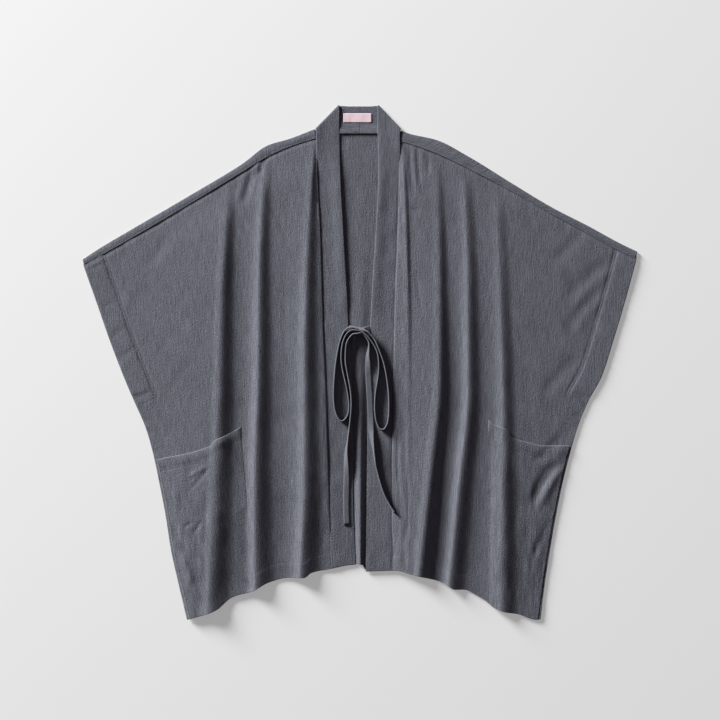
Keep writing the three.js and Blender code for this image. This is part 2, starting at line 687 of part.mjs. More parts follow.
// A strap with rounded edges swept along its route.
function makeStrap(route) {
  const path = new THREE.CatmullRomCurve3(
    route.map(([x, y, lift, turn]) => new THREE.Vector3(x, y, TIE_BED + lift + strapReach(turn))),
    false, 'centripetal');
  const turns = curveThrough(route.map((_, i) => i), route.map((row) => row[3]));
  const steps = (route.length - 1) * TIE_STEPS;
  const [halfWidth, halfWall] = [TIE_WIDTH / 2, TIE_WALL / 2];
  const flat = halfWidth - halfWall;
  const section = [
    [halfWidth, 0], [flat, halfWall], [-flat, halfWall],
    [-halfWidth, 0], [-flat, -halfWall], [flat, -halfWall],
  ];
  const positions = [];
  for (let n = 0; n <= steps; n += 1) {
    const u = n / steps;
    const middle = path.getPoint(u);
    const along = path.getTangent(u);
    const turn = THREE.MathUtils.degToRad(turns(u * (route.length - 1)));
    const level = new THREE.Vector3(0, 0, 1).cross(along).normalize();
    const up = along.clone().cross(level).normalize();
    const wide = level.clone().multiplyScalar(Math.cos(turn)).addScaledVector(up, Math.sin(turn));
    const thin = along.clone().cross(wide).normalize();
    section.forEach(([a, b]) => positions.push(
      ...middle.clone().addScaledVector(wide, a).addScaledVector(thin, b)));
  }
  const sides = section.length;
  const triangles = [];
  for (let n = 0; n < steps; n += 1) {
    for (let s = 0; s < sides; s += 1) {
      const next = (s + 1) % sides;
      const [a, b] = [n * sides + s, n * sides + next];
      triangles.push(a, b, b + sides, a, b + sides, a + sides);
    }
  }
  const end = steps * sides;
  for (let s = 1; s < sides - 1; s += 1) {
    triangles.push(0, s + 1, s, end, end + s, end + s + 1);
  }
  const geometry = new THREE.BufferGeometry();
  geometry.setAttribute('position', new THREE.Float32BufferAttribute(positions, 3));
  geometry.setIndex(triangles);
  geometry.computeVertexNormals();
  return geometry;
}

function makeKnot() {
  const geometry = new THREE.SphereGeometry(1, 14, 10);
  return geometry.scale(KNOT.rx, KNOT.ry, KNOT.rz).translate(KNOT.x, KNOT.y, KNOT.z);
}

function makeLabel() {
  const level = BAND_WALL + SEAM_GAP + LABEL_WALL / 2;
  return new THREE.BoxGeometry(LABEL.width, LABEL.depth, LABEL_WALL)
    .translate(LABEL.x, LABEL.y, level);
}

// ---------------------------------------------------------------- the garment

const cloth = new THREE.MeshStandardMaterial({ color: 0x5f6269, roughness: 0.95, metalness: 0 });
const tape = new THREE.MeshStandardMaterial({ color: 0xe3c9cf, roughness: 0.8, metalness: 0 });

const garment = new THREE.Group();

function add(name, geometry, material = cloth) {
  const mesh = new THREE.Mesh(geometry, material);
  mesh.name = name;
  garment.add(mesh);
}

const rightFront = makeFront({
  shoulder: RIGHT_SHOULDER, side: 'right', band: RIGHT_BAND, folds: RIGHT_FOLDS,
  pocket: RIGHT_POCKET, sideIsLeft: true,
});
const leftFront = makeFront({
  shoulder: LEFT_SHOULDER, side: 'left', band: LEFT_BAND, folds: LEFT_FOLDS,
  pocket: LEFT_POCKET, sideIsLeft: false,
});

add('back_panel', makeBack());
add('front_right', clothWall(rightFront.grid, PANEL_WALL));
add('front_left', clothWall(leftFront.grid, PANEL_WALL));
add('pocket_right', clothWall(rightFront.pocketGrid, POCKET_WALL));
add('pocket_left', clothWall(leftFront.pocketGrid, POCKET_WALL));
add('neckband_right', makeBand(RIGHT_BAND, -1));
add('neckband_left', makeBand(LEFT_BAND, 1));
add('neck_label', makeLabel(), tape);
add('tie_knot', makeKnot());
Object.entries(TIE_ROUTES).forEach(([name, route]) => add(name, makeStrap(route)));

export default garment;
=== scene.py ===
"""Kimono cardigan laid flat, face up: its looks, in metres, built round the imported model.

+Z is up, the neck is towards +Y, and right and left are the wearer's, so the right front lies
on the -X side. Cloth is made as thin closed shells on the solids' forms, the ties as ribbons.
"""
import math

import bpy
import numpy as np
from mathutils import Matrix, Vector


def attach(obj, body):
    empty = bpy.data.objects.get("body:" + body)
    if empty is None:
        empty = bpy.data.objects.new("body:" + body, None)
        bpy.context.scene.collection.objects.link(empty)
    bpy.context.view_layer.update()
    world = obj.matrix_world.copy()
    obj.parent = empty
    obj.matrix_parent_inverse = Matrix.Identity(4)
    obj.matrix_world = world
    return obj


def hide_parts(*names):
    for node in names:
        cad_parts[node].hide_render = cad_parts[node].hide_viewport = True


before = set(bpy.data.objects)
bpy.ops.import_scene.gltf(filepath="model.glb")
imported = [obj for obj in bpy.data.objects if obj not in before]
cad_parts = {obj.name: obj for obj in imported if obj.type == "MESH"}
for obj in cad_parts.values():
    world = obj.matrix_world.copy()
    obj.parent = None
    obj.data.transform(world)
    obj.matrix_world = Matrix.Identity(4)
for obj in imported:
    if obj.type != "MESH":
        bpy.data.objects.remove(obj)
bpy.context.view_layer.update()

# ------------------------------------------------------------------ sizes

PANEL_WALL = 0.0014
BAND_WALL = 0.0018
LAYER_GAP = 0.00035
SEAM_GAP = 0.0003
SHOULDER_ROLL = 0.0013
NECK_ROLL = 0.0016

BACK_LEVEL = PANEL_WALL / 2
FRONT_LEVEL = PANEL_WALL + LAYER_GAP + PANEL_WALL / 2
SHOULDER_LEVEL = BACK_LEVEL + 2 * SHOULDER_ROLL
BAND_LEVEL = PANEL_WALL + LAYER_GAP + BAND_WALL / 2
SETTLE = 0.12  # share of a panel's length over which it comes down from the shoulder

CLOTH_HALF = 0.00045  # half of the cloth's own thickness
BAND_HALF = 0.0008
HEM_EXTRA = 0.00035  # what a turned hem adds to half of the thickness
HEM_FADE = 0.002  # over which that is added
RIM_BULGE = 0.8  # how far a rim is pushed out, as a share of half of the thickness

# Shoulder lines, from sleeve tip to neck: x, fold at the garment's edge, forward seam
RIGHT_SHOULDER = (
    (-0.500, 0.184, 0.174),
    (-0.468, 0.205, 0.1905),
    (-0.419, 0.234, 0.218),
    (-0.299, 0.304, 0.2885),
    (-0.212, 0.3565, 0.3415),
    (-0.166, 0.390, 0.369),
    (-0.126, 0.402, 0.387),
    (-0.080, 0.420, 0.402),
)
LEFT_SHOULDER = (
    (0.072, 0.418, 0.3965),
    (0.085, 0.412, 0.3935),
    (0.138, 0.3995, 0.3745),
    (0.193, 0.371, 0.3485),
    (0.275, 0.3205, 0.306),
    (0.344, 0.279, 0.2665),
    (0.414, 0.243, 0.2285),
    (0.463, 0.216, 0.2015),
    (0.500, 0.198, 0.184),
)

# Sleeve edges and side seams, from the tips down to the hem's corners: y, right x, left x
SIDES = (
    (0.190, -0.5025, 0.498),
    (0.112, -0.475, 0.477),
    (0.040, -0.450, 0.4555),
    (-0.025, -0.425, 0.4345),
    (-0.068, -0.407, 0.4115),
    (-0.119, -0.385, 0.3905),
    (-0.162, -0.3725, 0.378),
    (-0.220, -0.360, 0.3635),
    (-0.277, -0.349, 0.352),
    (-0.335, -0.340, 0.342),
    (-0.392, -0.3275, 0.333),
    (-0.463, -0.3105, 0.324),
)
SLEEVE_END = -0.066  # height at which the sleeve openings end and the side seams start

# The hem: x, y
HEM = (
    (-0.310, -0.4625),
    (-0.281, -0.4535),
    (-0.259, -0.4445),
    (-0.230, -0.423),
    (-0.196, -0.412),
    (-0.166, -0.3965),
    (-0.126, -0.387),
    (-0.099, -0.3865),
    (-0.088, -0.3785),
    (-0.058, -0.3725),
    (-0.008, -0.364),
    (0.004, -0.366),
    (0.011, -0.376),
    (0.065, -0.3745),
    (0.092, -0.3815),
    (0.120, -0.388),
    (0.149, -0.396),
    (0.169, -0.408),
    (0.189, -0.409),
    (0.207, -0.4175),
    (0.223, -0.4265),
    (0.241, -0.441),
    (0.261, -0.449),
    (0.284, -0.453),
    (0.317, -0.463),
    (0.324, -0.4625),
)
BACK_INSET = 0.0015
TIP_SLOPE = 0.35  # how far a sleeve edge moves in for each metre down from its tip

# Neckband halves down the fronts: y, the edge sewn to the front, the free edge
RIGHT_BAND = (
    (0.419, -0.079, -0.0375),
    (0.345, -0.0785, -0.036),
    (0.238, -0.0735, -0.0305),
    (0.112, -0.0695, -0.0235),
    (0.063, -0.068, -0.0215),
    (-0.068, -0.0625, -0.0145),
    (-0.248, -0.057, -0.0125),
    (-0.364, -0.0515, -0.008),
)
LEFT_BAND = (
    (0.419, 0.072, 0.032),
    (0.345, 0.072, 0.0335),
    (0.238, 0.0695, 0.029),
    (0.153, 0.066, 0.0235),
    (0.059, 0.0635, 0.019),
    (-0.068, 0.061, 0.0145),
    (-0.248, 0.0595, 0.0125),
    (-0.375, 0.060, 0.011),
)
# Where the band turns over at the neck side, and where it lies behind the neck
SEAM_TURN = 0.418
FREE_TURN = 0.4605
NECK_LOWER = 0.411
NECK_UPPER = 0.4595
NECK_SEAM = 0.4225  # the band's own seam behind the neck, above its turned allowance
NECK_SETTLE = 0.090
CORNER_CLEAR = 0.0028

# Folds down a panel: crest and height at each of the fractions of its length, the widths of the
# flank that rises and the flank that falls at the top and at the bottom, and the crest's lean.
# A wide fold swells up from the panel's edge.
FRACTIONS = (0, 0.25, 0.5, 0.75, 1)
RIGHT_FOLDS = (
    dict(crest=(-0.238, -0.2495, -0.2550, -0.2640, -0.2740),
         height=(0.0018, 0.0092, 0.0108, 0.0112, 0.0118),
         rise=(0.014, 0.015), fall=(0.018, 0.044), lean=0.002),
    dict(crest=(-0.172, -0.1815, -0.1840, -0.1900, -0.1895),
         height=(0.0018, 0.0072, 0.0096, 0.0112, 0.0122),
         rise=(0.013, 0.015), fall=(0.016, 0.040), lean=0.001),
    dict(crest=(-0.082, -0.0950, -0.1000, -0.1000, -0.1075),
         height=(0.0012, 0.0062, 0.0096, 0.0116, 0.0126),
         rise=(0.014, 0.016), fall=(0.014, 0.040), lean=0),
)
LEFT_FOLDS = (
    dict(crest=(0.076, 0.083, 0.0855, 0.084, 0.084),
         height=(0.001, 0.0028, 0.0014, 0.0006, 0.0004),
         rise=(0.004, 0.020), fall=(0.008, 0.010), lean=0),
    dict(crest=(0.136, 0.1405, 0.1400, 0.1225, 0.1020),
         height=(0.001, 0.0054, 0.0092, 0.0124, 0.0140),
         rise=(0.013, 0.014), fall=(0.014, 0.032), lean=0.003, wide=True),
    dict(crest=(0.186, 0.1925, 0.1930, 0.1755, 0.158),
         height=(0.0015, 0.0056, 0.0082, 0.0096, 0.0104),
         rise=(0.012, 0.014), fall=(0.018, 0.034), lean=0.001),
    dict(crest=(0.245, 0.2510, 0.2560, 0.2545, 0.2525),
         height=(0.001, 0.0038, 0.0066, 0.0080, 0.0090),
         rise=(0.014, 0.016), fall=(0.019, 0.032), lean=0.001),
)
CENTRE_FOLD = dict(
    crest=(0.004, 0.004, 0.001, 0, 0), height=(0, 0.0005, 0.0025, 0.007, 0.007),
    rise=(0.030, 0.009), fall=(0.026, 0.009), lean=0)
NESTED_HEIGHT = 0.4
NESTED_WIDTH = 0.75
LEAST_NESTED = 0.006
ROOM_SHARE = 0.96
SOLVE_STEPS = 30
# The cloth before a fold already swells up to a share of the fold's height, along a power curve.
# It swells from the end of the fold before, or from an edge or seam where the fold is wide or
# the first one.
SWELL = 0.80
SWELL_POWER = 3.0
EDGE_SWELL = 0.82
EDGE_SWELL_POWER = 0.85
SPROUT = 0.15  # how far a fold has grown where it leaves its top seam, before easing
GROWTH = 0.10  # share of a panel's length over which it grows

# Pockets: top edge from the inner edge to the side, and the inner edge's distance outside the
# start of a fold at three fractions of the front
POCKET_SIDE_INSET = 0.004
POCKET_FRACTIONS = (0.6, 0.75, 1)
POCKET_FOLD_CLEAR = 0.2
RIGHT_POCKET = dict(
    before=1, offset=(0.014, 0.001, -0.008), edge_lift=(1.6, 1.4, -0.3),
    top=((-0.367, -0.1765), (-0.268, -0.1505), (-0.262, -0.141), (-0.244, -0.133),
         (-0.2195, -0.1205)))
LEFT_POCKET = dict(
    before=3, offset=(0.010, 0.010, 0.010), edge_lift=(1.2, -0.3, -0.3),
    top=((0.2315, -0.1045), (0.241, -0.1125), (0.264, -0.1225), (0.270, -0.1335),
         (0.299, -0.144), (0.331, -0.1505), (0.3725, -0.1505)))

LABEL = dict(width=0.050, depth=0.016, x=-0.0045, y=0.439, level=0.00235,
             half=0.00022, stitches=0.0003)

# Ties: the middle of each strap as x and y, its lift above where it would rest on the
# neckband, and its turn in degrees, from 0 lying flat to 90 standing on its edge
TIE_WIDTH = 0.0105
TIE_WALL = 0.0026
TIE_BED = BAND_LEVEL + BAND_WALL / 2 + SEAM_GAP
KNOT = dict(x=0.004, y=0.055, z=0.010, rx=0.008, ry=0.0065, rz=0.0058)
RIGHT_ROOT = (
    (-0.0203, 0.0605, -0.002, 0), (-0.016, 0.060, -0.0012, 0), (-0.0105, 0.059, -0.0004, 0),
    (-0.0046, 0.0575, 0.0003, 0),
)
RIGHT_LOOP = (
    (-0.0048, 0.060, 0.0035, 80), (-0.013, 0.0626, 0.003, 84), (-0.0234, 0.0601, 0.0018, 88),
    (-0.0299, 0.0522, 0.0007, 90), (-0.0364, 0.036, 0.0001, 90), (-0.0419, 0.009, 0.0001, 90),
    (-0.0452, -0.017, 0.0001, 90), (-0.0472, -0.050, 0.0001, 90), (-0.0472, -0.068, 0.0001, 90),
    (-0.0452, -0.085, 0.0001, 90), (-0.0403, -0.099, 0.0001, 90), (-0.0338, -0.106, 0.0001, 90),
    (-0.0265, -0.102, 0.0001, 90), (-0.0216, -0.093, 0.0001, 90), (-0.0198, -0.080, 0.0001, 90),
    (-0.021, -0.064, 0.0001, 90), (-0.0236, -0.048, 0.0001, 90), (-0.0276, -0.030, 0.0001, 90),
    (-0.0314, -0.013, 0.0001, 90), (-0.0335, 0.003, 0.0001, 90), (-0.0331, 0.021, 0.0003, 90),
    (-0.0299, 0.038, 0.0008, 90), (-0.0234, 0.0506, 0.0018, 88), (-0.015, 0.0566, 0.0028, 84),
    (-0.0052, 0.056, 0.0035, 80),
)
RIGHT_TAIL = (
    (-0.0048, 0.0516, 0.0029, 80), (-0.0122, 0.0506, 0.0022, 84), (-0.0194, 0.0435, 0.0011, 88),
    (-0.0243, 0.0328, 0.0003, 90), (-0.0259, 0.0167, 0.0001, 90), (-0.0259, -0.001, 0.0001, 90),
    (-0.0234, -0.016, 0.0001, 90), (-0.0206, -0.031, 0.0001, 90), (-0.0178, -0.046, 0.0001, 90),
    (-0.016, -0.062, 0.0001, 90), (-0.0156, -0.080, 0.0001, 90), (-0.017, -0.097, 0.0001, 90),
    (-0.0188, -0.115, 0.0001, 90), (-0.022, -0.140, 0.0002, 85), (-0.0246, -0.162, 0.0003, 66),
    (-0.0246, -0.185, 0.0003, 32), (-0.024, -0.207, 0.0001, 6), (-0.0246, -0.232, 0.0001, 0),
    (-0.025, -0.261, 0.0001, 0), (-0.0238, -0.293, 0.0001, 0),
)
LEFT_ROOT = (
    (0.0174, 0.0605, -0.002, 0), (0.0156, 0.060, -0.0013, 0), (0.0126, 0.0586, 0.0002, 0),
)
LEFT_LOOP = (
    (0.0134, 0.0536, 0.0035, 80), (0.0184, 0.0496, 0.0029, 84), (0.0263, 0.040, 0.0017, 88),
    (0.0342, 0.0216, 0.0005, 90), (0.0409, 0.004, 0.0001, 90), (0.0457, -0.0155, 0.0001, 90),
    (0.049, -0.036, 0.0001, 90), (0.0514, -0.057, 0.0001, 90), (0.052, -0.078, 0.0001, 90),
    (0.0513, -0.097, 0.0001, 90), (0.0486, -0.1115, 0.0001, 90), (0.0425, -0.1205, 0.0001, 90),
    (0.0355, -0.1195, 0.0001, 90), (0.0298, -0.1085, 0.0001, 90), (0.0268, -0.090, 0.0001, 90),
    (0.0266, -0.071, 0.0001, 90), (0.0288, -0.049, 0.0001, 90), (0.032, -0.030, 0.0001, 90),
    (0.0337, -0.0105, 0.0001, 90), (0.0328, 0.009, 0.0004, 90), (0.0288, 0.0234, 0.001, 90),
    (0.023, 0.034, 0.0018, 88), (0.0158, 0.044, 0.0029, 84), (0.011, 0.0488, 0.0033, 80),
)
LEFT_TAIL = (
    (0.0074, 0.0474, 0.0006, 80), (0.012, 0.042, 0.0002, 86), (0.0156, 0.035, 0.0001, 88),
    (0.0156, 0.025, 0.0001, 80), (0.014, 0.012, 0.0003, 56), (0.0144, -0.004, 0.0003, 20),
    (0.0149, -0.0215, 0.0001, 0), (0.0158, -0.041, 0.0001, 0), (0.0172, -0.062, 0.0001, 0),
    (0.0182, -0.081, 0.0001, 0), (0.019, -0.101, 0.0002, 4), (0.0198, -0.120, 0.0003, 18),
    (0.0214, -0.138, 0.0003, 48), (0.0242, -0.156, 0.0002, 78), (0.0286, -0.187, 0.0001, 90),
    (0.0342, -0.209, 0.0001, 90), (0.0432, -0.237, 0.0001, 90), (0.0535, -0.257, 0.0003, 88),
    (0.062, -0.270, 0.0005, 84),
)
TIE_STEPS = 6  # steps of its line from one point to the next
TIE_WEAR = 0.0010  # width of the worn strip along its edges
EDGE_POINTS = 6  # round half of its section's edge
FACE_PLACES = (0.6, 0.2, -0.2, -0.6)  # across its face, as shares of the flat's half width
KNOT_POINTS = 40
# Where both ties run through the knot, from root to loop and from loop to tail
KNOT_INSIDE = ((KNOT["x"], KNOT["y"] + 0.002, 0.0012, 30),)
KNOT_THROUGH = ((KNOT["x"], KNOT["y"], 0.0030, 80),)
# The wrap of the knot: its turns from start to end, how much it opens, and how far it slants
KNOT_TURNS = (-0.15, 1.05)
KNOT_SWELL = 0.10
KNOT_SLANT = 0.0009

# Seeds of each piece's own random waves
SEED = dict(front_right=11, front_left=21, back=31, pocket_right=41, pocket_left=51, shoulder=61,
            label=71, neckband_right=81, neck=85, neckband_left=91)

# ------------------------------------------------------------------ curves and noise

NOISE_CELLS = 64
TINY = 1e-9


def mix(a, b, share):
    return a + (b - a) * share


def ease(value):
    """A half wave from 0 to 1."""
    return (1 - np.cos(np.pi * np.clip(value, 0, 1))) / 2


def past(distance, reach):
    """0 up to a line, growing to 1 at a reach past it."""
    return ease(distance / reach)


def near(distance, reach):
    """1 on a line, fading to 0 at a reach from it."""
    return ease(1 - distance / reach)


def bell(distance, width):
    """1 on a line, fading to nothing over a few widths on both of its sides."""
    return np.exp(-((distance / width) ** 2))


def unit(vectors):
    return vectors / np.linalg.norm(vectors, axis=-1, keepdims=True)


def curve_through(xs, ys):
    """A smooth curve through points, which never swings past them."""
    order = np.argsort(xs)
    x, y = np.array(xs, float)[order], np.array(ys, float)[order]
    slope = np.diff(y) / np.diff(x)
    before, after = slope[:-1], slope[1:]
    same = before * after > 0
    middle = np.where(same, 2 * before * after / np.where(same, before + after, 1), 0)
    bend = np.concatenate([slope[:1], middle, slope[-1:]])

    def at(place):
        place = np.asarray(place, float)
        i = np.clip(np.searchsorted(x, place) - 1, 0, len(slope) - 1)
        span = x[i + 1] - x[i]
        u = (place - x[i]) / span
        v = 1 - u
        inside = (y[i] * v * v * (1 + 2 * u) + y[i + 1] * u * u * (1 + 2 * v)
                  + span * u * v * (bend[i] * v - bend[i + 1] * u))
        below = y[0] + bend[0] * (place - x[0])
        above = y[-1] + bend[-1] * (place - x[-1])
        return np.where(place <= x[0], below, np.where(place >= x[-1], above, inside))

    return at


def curve_of(rows, given, wanted):
    """The curve of one column of a table over another."""
    return curve_through([row[given] for row in rows], [row[wanted] for row in rows])


def patches(x, y, size_x, size_y, seed):
    """Smooth random values from -1 to 1 that change over size_x and size_y."""
    values = np.random.default_rng(seed).uniform(-1, 1, (NOISE_CELLS, NOISE_CELLS))
    u, v = x / size_x, y / size_y
    i, j = np.floor(u).astype(int), np.floor(v).astype(int)
    across, along = ease(u - i), ease(v - j)

    def at(di, dj):
        return values[(i + di) % NOISE_CELLS, (j + dj) % NOISE_CELLS]

    return mix(mix(at(0, 0), at(1, 0), across), mix(at(0, 1), at(1, 1), across), along)


def waves(x, y, form, seed):
    """Smooth random waves of a height, width and length."""
    height, width, length = form
    return height * patches(x, y, width, length, seed)


hem_at = curve_of(HEM, 0, 1)

# ------------------------------------------------------------------ meshes

CLOTH_LAYER = "cloth"


def make_object(name, points, faces, material):
    mesh = bpy.data.meshes.new(name)
    mesh.from_pydata([tuple(p) for p in points], [], faces)
    mesh.validate()
    mesh.shade_smooth()
    mesh.materials.append(material)
    made = bpy.data.objects.new(name, mesh)
    bpy.context.scene.collection.objects.link(made)
    return made


def lay_on(made, places):
    """Stores each point's place on the flat cloth and its wear, for the weave to follow."""
    layer = made.data.attributes.new(CLOTH_LAYER, "FLOAT_VECTOR", "POINT")
    layer.data.foreach_set("vector", np.asarray(places, np.float32).ravel())


def finish_piece(made, replaces=()):
    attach(made, "root")
    if replaces:
        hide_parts(*replaces)
    return made


def grid_normals(grid):
    across = np.gradient(grid, axis=1)
    along = -np.gradient(grid, axis=0)
    return unit(np.cross(across, along))


def run_along(grid, axis):
    """Distances along the cloth from a grid's first row (axis 0) or first column (axis 1)."""
    first = grid[:1] if axis == 0 else grid[:, :1]
    return np.cumsum(np.linalg.norm(np.diff(grid, axis=axis, prepend=first), axis=2), axis=axis)


def flat_places(grid, width_from):
    """Distances along the rows and down the columns of a grid, as u and v."""
    u = run_along(grid, 1)
    down = np.linalg.norm(np.diff(grid, axis=0), axis=2).mean(axis=1)
    v = -np.concatenate([[0], np.cumsum(down)])[:, None] * np.ones(grid.shape[1])
    return u - u[:, [width_from]], v


def shell(name, grid, half, material, keep=None, width_from=0, edge=None):
    """A closed thin shell round a grid of middle points, with rounded rims. Rows run towards
    -Y, columns towards +X. half is half the thickness, keep the cells that have cloth, and
    edge a mask from 0 to 1 of turned edges and seams."""
    rows, cols = grid.shape[:2]
    keep = np.ones((rows - 1, cols - 1), bool) if keep is None else keep
    normals = grid_normals(grid)
    half = np.broadcast_to(np.asarray(half, float), (rows, cols))[..., None]
    u, v = flat_places(grid, width_from)
    mask = np.zeros((rows, cols)) if edge is None else edge
    places = np.stack([u, v, mask], axis=-1)
    number = np.arange(rows * cols).reshape(rows, cols)
    i, j = np.nonzero(keep)
    cells = np.stack([number[i, j], number[i + 1, j], number[i + 1, j + 1], number[i, j + 1]],
                     axis=1)
    rims, rim_points, rim_places = round_rims(grid, half, keep, number, places)
    faces = np.concatenate([cells, cells[:, ::-1] + rows * cols, rims])
    points = np.concatenate([(grid + normals * half).reshape(-1, 3),
                             (grid - normals * half).reshape(-1, 3), rim_points])
    all_places = np.concatenate([places.reshape(-1, 3), places.reshape(-1, 3), rim_places])
    used = np.unique(faces)
    renumber = np.zeros(len(points), int)
    renumber[used] = np.arange(len(used))
    made = make_object(name, points[used], renumber[faces].tolist(), material)
    lay_on(made, all_places[used])
    return made


def round_rims(grid, half, keep, number, places):
    """Faces of the rims, each with one line of points pushed out between its two edges."""
    padded = np.pad(keep, 1)
    sides = (  # the neighbour cell, and the rim's two ends as steps from the cell's corner
        ((0, -1), (0, 0), (1, 0)),
        ((1, 0), (1, 0), (1, 1)),
        ((0, 1), (1, 1), (0, 1)),
        ((-1, 0), (0, 1), (0, 0)),
    )
    outward = np.zeros(grid.shape)
    rims = []
    for (di, dj), start, end in sides:
        beside = padded[1 + di:1 + di + keep.shape[0], 1 + dj:1 + dj + keep.shape[1]]
        for i, j in np.argwhere(keep & ~beside):
            ends = [(i + di1, j + dj1) for di1, dj1 in (start, end)]
            for p in ends:
                out = grid[p] - grid[p[0] - di, p[1] - dj]
                outward[p] += out / max(np.linalg.norm(out), TINY)
            rims.append(ends)
    touched = sorted({p for rim in rims for p in rim})
    middle = {p: 2 * number.size + n for n, p in enumerate(touched)}
    points = []
    for p in touched:
        push = outward[p] / max(np.linalg.norm(outward[p]), TINY)
        points.append(grid[p] + push * half[p] * RIM_BULGE)
    faces = []
    for a, b in rims:
        faces.append((number[b], number[a], middle[a], middle[b]))
        faces.append((middle[b], middle[a], number[a] + number.size, number[b] + number.size))
    return np.array(faces, int), np.array(points), np.array([places[p] for p in touched])


def lifted(grid, distance):
    """A grid moved out along its normals."""
    return grid + grid_normals(grid) * np.asarray(distance)[..., None]


# ------------------------------------------------------------------ folds and panels

SOFTEN = 0.0008  # how softly a trough meets the lowest height its cloth may have
NORMAL_STEP = 0.0008
SQUEEZE = 0.6  # share of a stretch that the columns near one of its ends may take up
PLACE_STEPS = 4
NONE_NEAR = (0,)


def fold_curves(fold):
    return dict(crest=curve_through(FRACTIONS, fold["crest"]),
                height=curve_through(FRACTIONS, fold["height"]),
                rise=fold["rise"], fall=fold["fall"], lean=fold["lean"],
                wide=fold.get("wide", False))


def fitted(own, other, room):
    """A flank's width, kept within its share of the room that it has with its neighbour's."""
    return np.minimum(own, own * room * ROOM_SHARE / (own + other))


class Folds:
    """Folds that run down between a left and a right edge, each edge given as x at t."""

    def __init__(self, folds, left, right):
        self.folds = [fold_curves(fold) for fold in folds]
        self.left, self.right = left, right

    def span(self, k, t):
        """Where a fold starts, crests and ends, its flanks kept clear of its neighbours."""
        fold = self.folds[k]
        crest = fold["crest"](t)
        rise, fall = mix(*fold["rise"], t), mix(*fold["fall"], t)
        before, after = 0, 0
        room_before, room_after = crest - self.left(t), self.right(t) - crest
        if k > 0:
            before = mix(*self.folds[k - 1]["fall"], t)
            room_before = crest - self.folds[k - 1]["crest"](t)
        if k < len(self.folds) - 1:
            after = mix(*self.folds[k + 1]["rise"], t)
            room_after = self.folds[k + 1]["crest"](t) - crest
        return (crest - fitted(rise, before, room_before), crest,
                crest + fitted(fall, after, room_after))

    def lift(self, x, t):
        """How far the folds lift a point, and how far they push it towards +X."""
        lift, push = np.zeros_like(x), np.zeros_like(x)
        grown = ease(SPROUT + t / GROWTH)
        for k, fold in enumerate(self.folds):
            start, crest, end = self.span(k, t)
            edge = k == 0 or fold["wide"]
            before = self.left(t) if edge else self.span(k - 1, t)[2]
            swell = np.clip((x - before) / (crest - before), 0, 1)
            swell = swell ** (EDGE_SWELL_POWER if edge else SWELL_POWER)
            rise = mix(ease((x - start) / (crest - start)), swell, EDGE_SWELL if edge else SWELL)
            share = np.where(x < crest, rise, ease((end - x) / (end - crest)))
            lift += share * fold["height"](t) * grown
            push += share * fold["lean"] * t
        return lift, push


def corner_y(edge, end):
    """Height at which a side edge meets a top or bottom edge."""
    y = 0.0
    for _ in range(SOLVE_STEPS):
        y = float(end(edge(y)))
    return y


class Panel(Folds):
    """Cloth between two side edges, given as x at y, and a top and a bottom edge, given as y at
    x. t runs from 0 at the top edge to 1 at the bottom. relief adds small forms to its height,
    and lowest, where it is given, is the least height that its troughs may have."""

    def __init__(self, sides, top, bottom, folds, level, relief, lowest=None):
        left, right = (self.edge_at(edge, top, bottom) for edge in sides)
        super().__init__(folds, left, right)
        self.top, self.bottom, self.level = top, bottom, level
        self.relief, self.lowest = relief, lowest

    @staticmethod
    def edge_at(edge, top, bottom):
        upper, lower = corner_y(edge, top), corner_y(edge, bottom)
        return lambda t: edge(mix(upper, lower, t))

    def ends_at(self, x, t):
        share = (x - self.left(t)) / (self.right(t) - self.left(t))
        return (self.top(mix(self.left(0), self.right(0), share)),
                self.bottom(mix(self.left(1), self.right(1), share)))

    def height_at(self, x, t):
        return mix(*self.ends_at(x, t), t)

    def length_at(self, x, t):
        top, bottom = self.ends_at(x, t)
        return top - bottom

    def surface(self, x, t):
        """The middle of the cloth at x and t."""
        x, t = np.broadcast_arrays(np.asarray(x, float), np.asarray(t, float))
        lift, push = self.lift(x, t)
        y = self.height_at(x, t)
        z = self.level(t) + lift + self.relief(self, x, y, t)
        if self.lowest is not None:
            above = z - self.lowest
            z = self.lowest + (above + np.sqrt(above**2 + SOFTEN**2)) / 2
        return np.stack([x + push, y, z], axis=-1)

    def fraction_at(self, x, y):
        """t of the point at x that lies at y."""
        low, high = np.zeros_like(x), np.ones_like(x)
        for _ in range(SOLVE_STEPS):
            t = (low + high) / 2
            above = self.height_at(x, t) > y
            low, high = np.where(above, t, low), np.where(above, high, t)
        return (low + high) / 2

    def on(self, x, t, reach):
        """Points on the cloth at x and t, moved out by reach, and the cloth's normals there."""
        x, t = np.broadcast_arrays(np.asarray(x, float), np.asarray(t, float))
        across = self.surface(x + NORMAL_STEP, t) - self.surface(x - NORMAL_STEP, t)
        along = self.surface(x, t - NORMAL_STEP) - self.surface(x, t + NORMAL_STEP)
        normals = unit(np.cross(across, along))
        return self.surface(x, t) + normals * reach, normals


def places(near_start, near_end, count):
    """Places along a stretch, as shares of it and offsets from there: at given distances from
    its two ends, and evenly between these."""
    between = np.linspace(0, 1, count + 2)[1:-1]
    near_start, near_end = list(near_start), sorted(near_end, reverse=True)
    inner = mix(near_start[-1], -near_end[0], between)
    shares = np.concatenate([np.zeros(len(near_start)), between, np.ones(len(near_end))])
    offsets = np.concatenate([near_start, inner, -np.array(near_end)])
    return shares, offsets


def even(count):
    """Evenly spread places, a column at each end and count between."""
    return places(NONE_NEAR, NONE_NEAR, count)


def fold_guides(folds, k, rise, fall, after):
    """Guides at a fold's start, crest and end, each with the places of the columns past it."""
    return [(lambda t, part=part: folds.span(k, t)[part], spread)
            for part, spread in enumerate((rise, fall, after))]


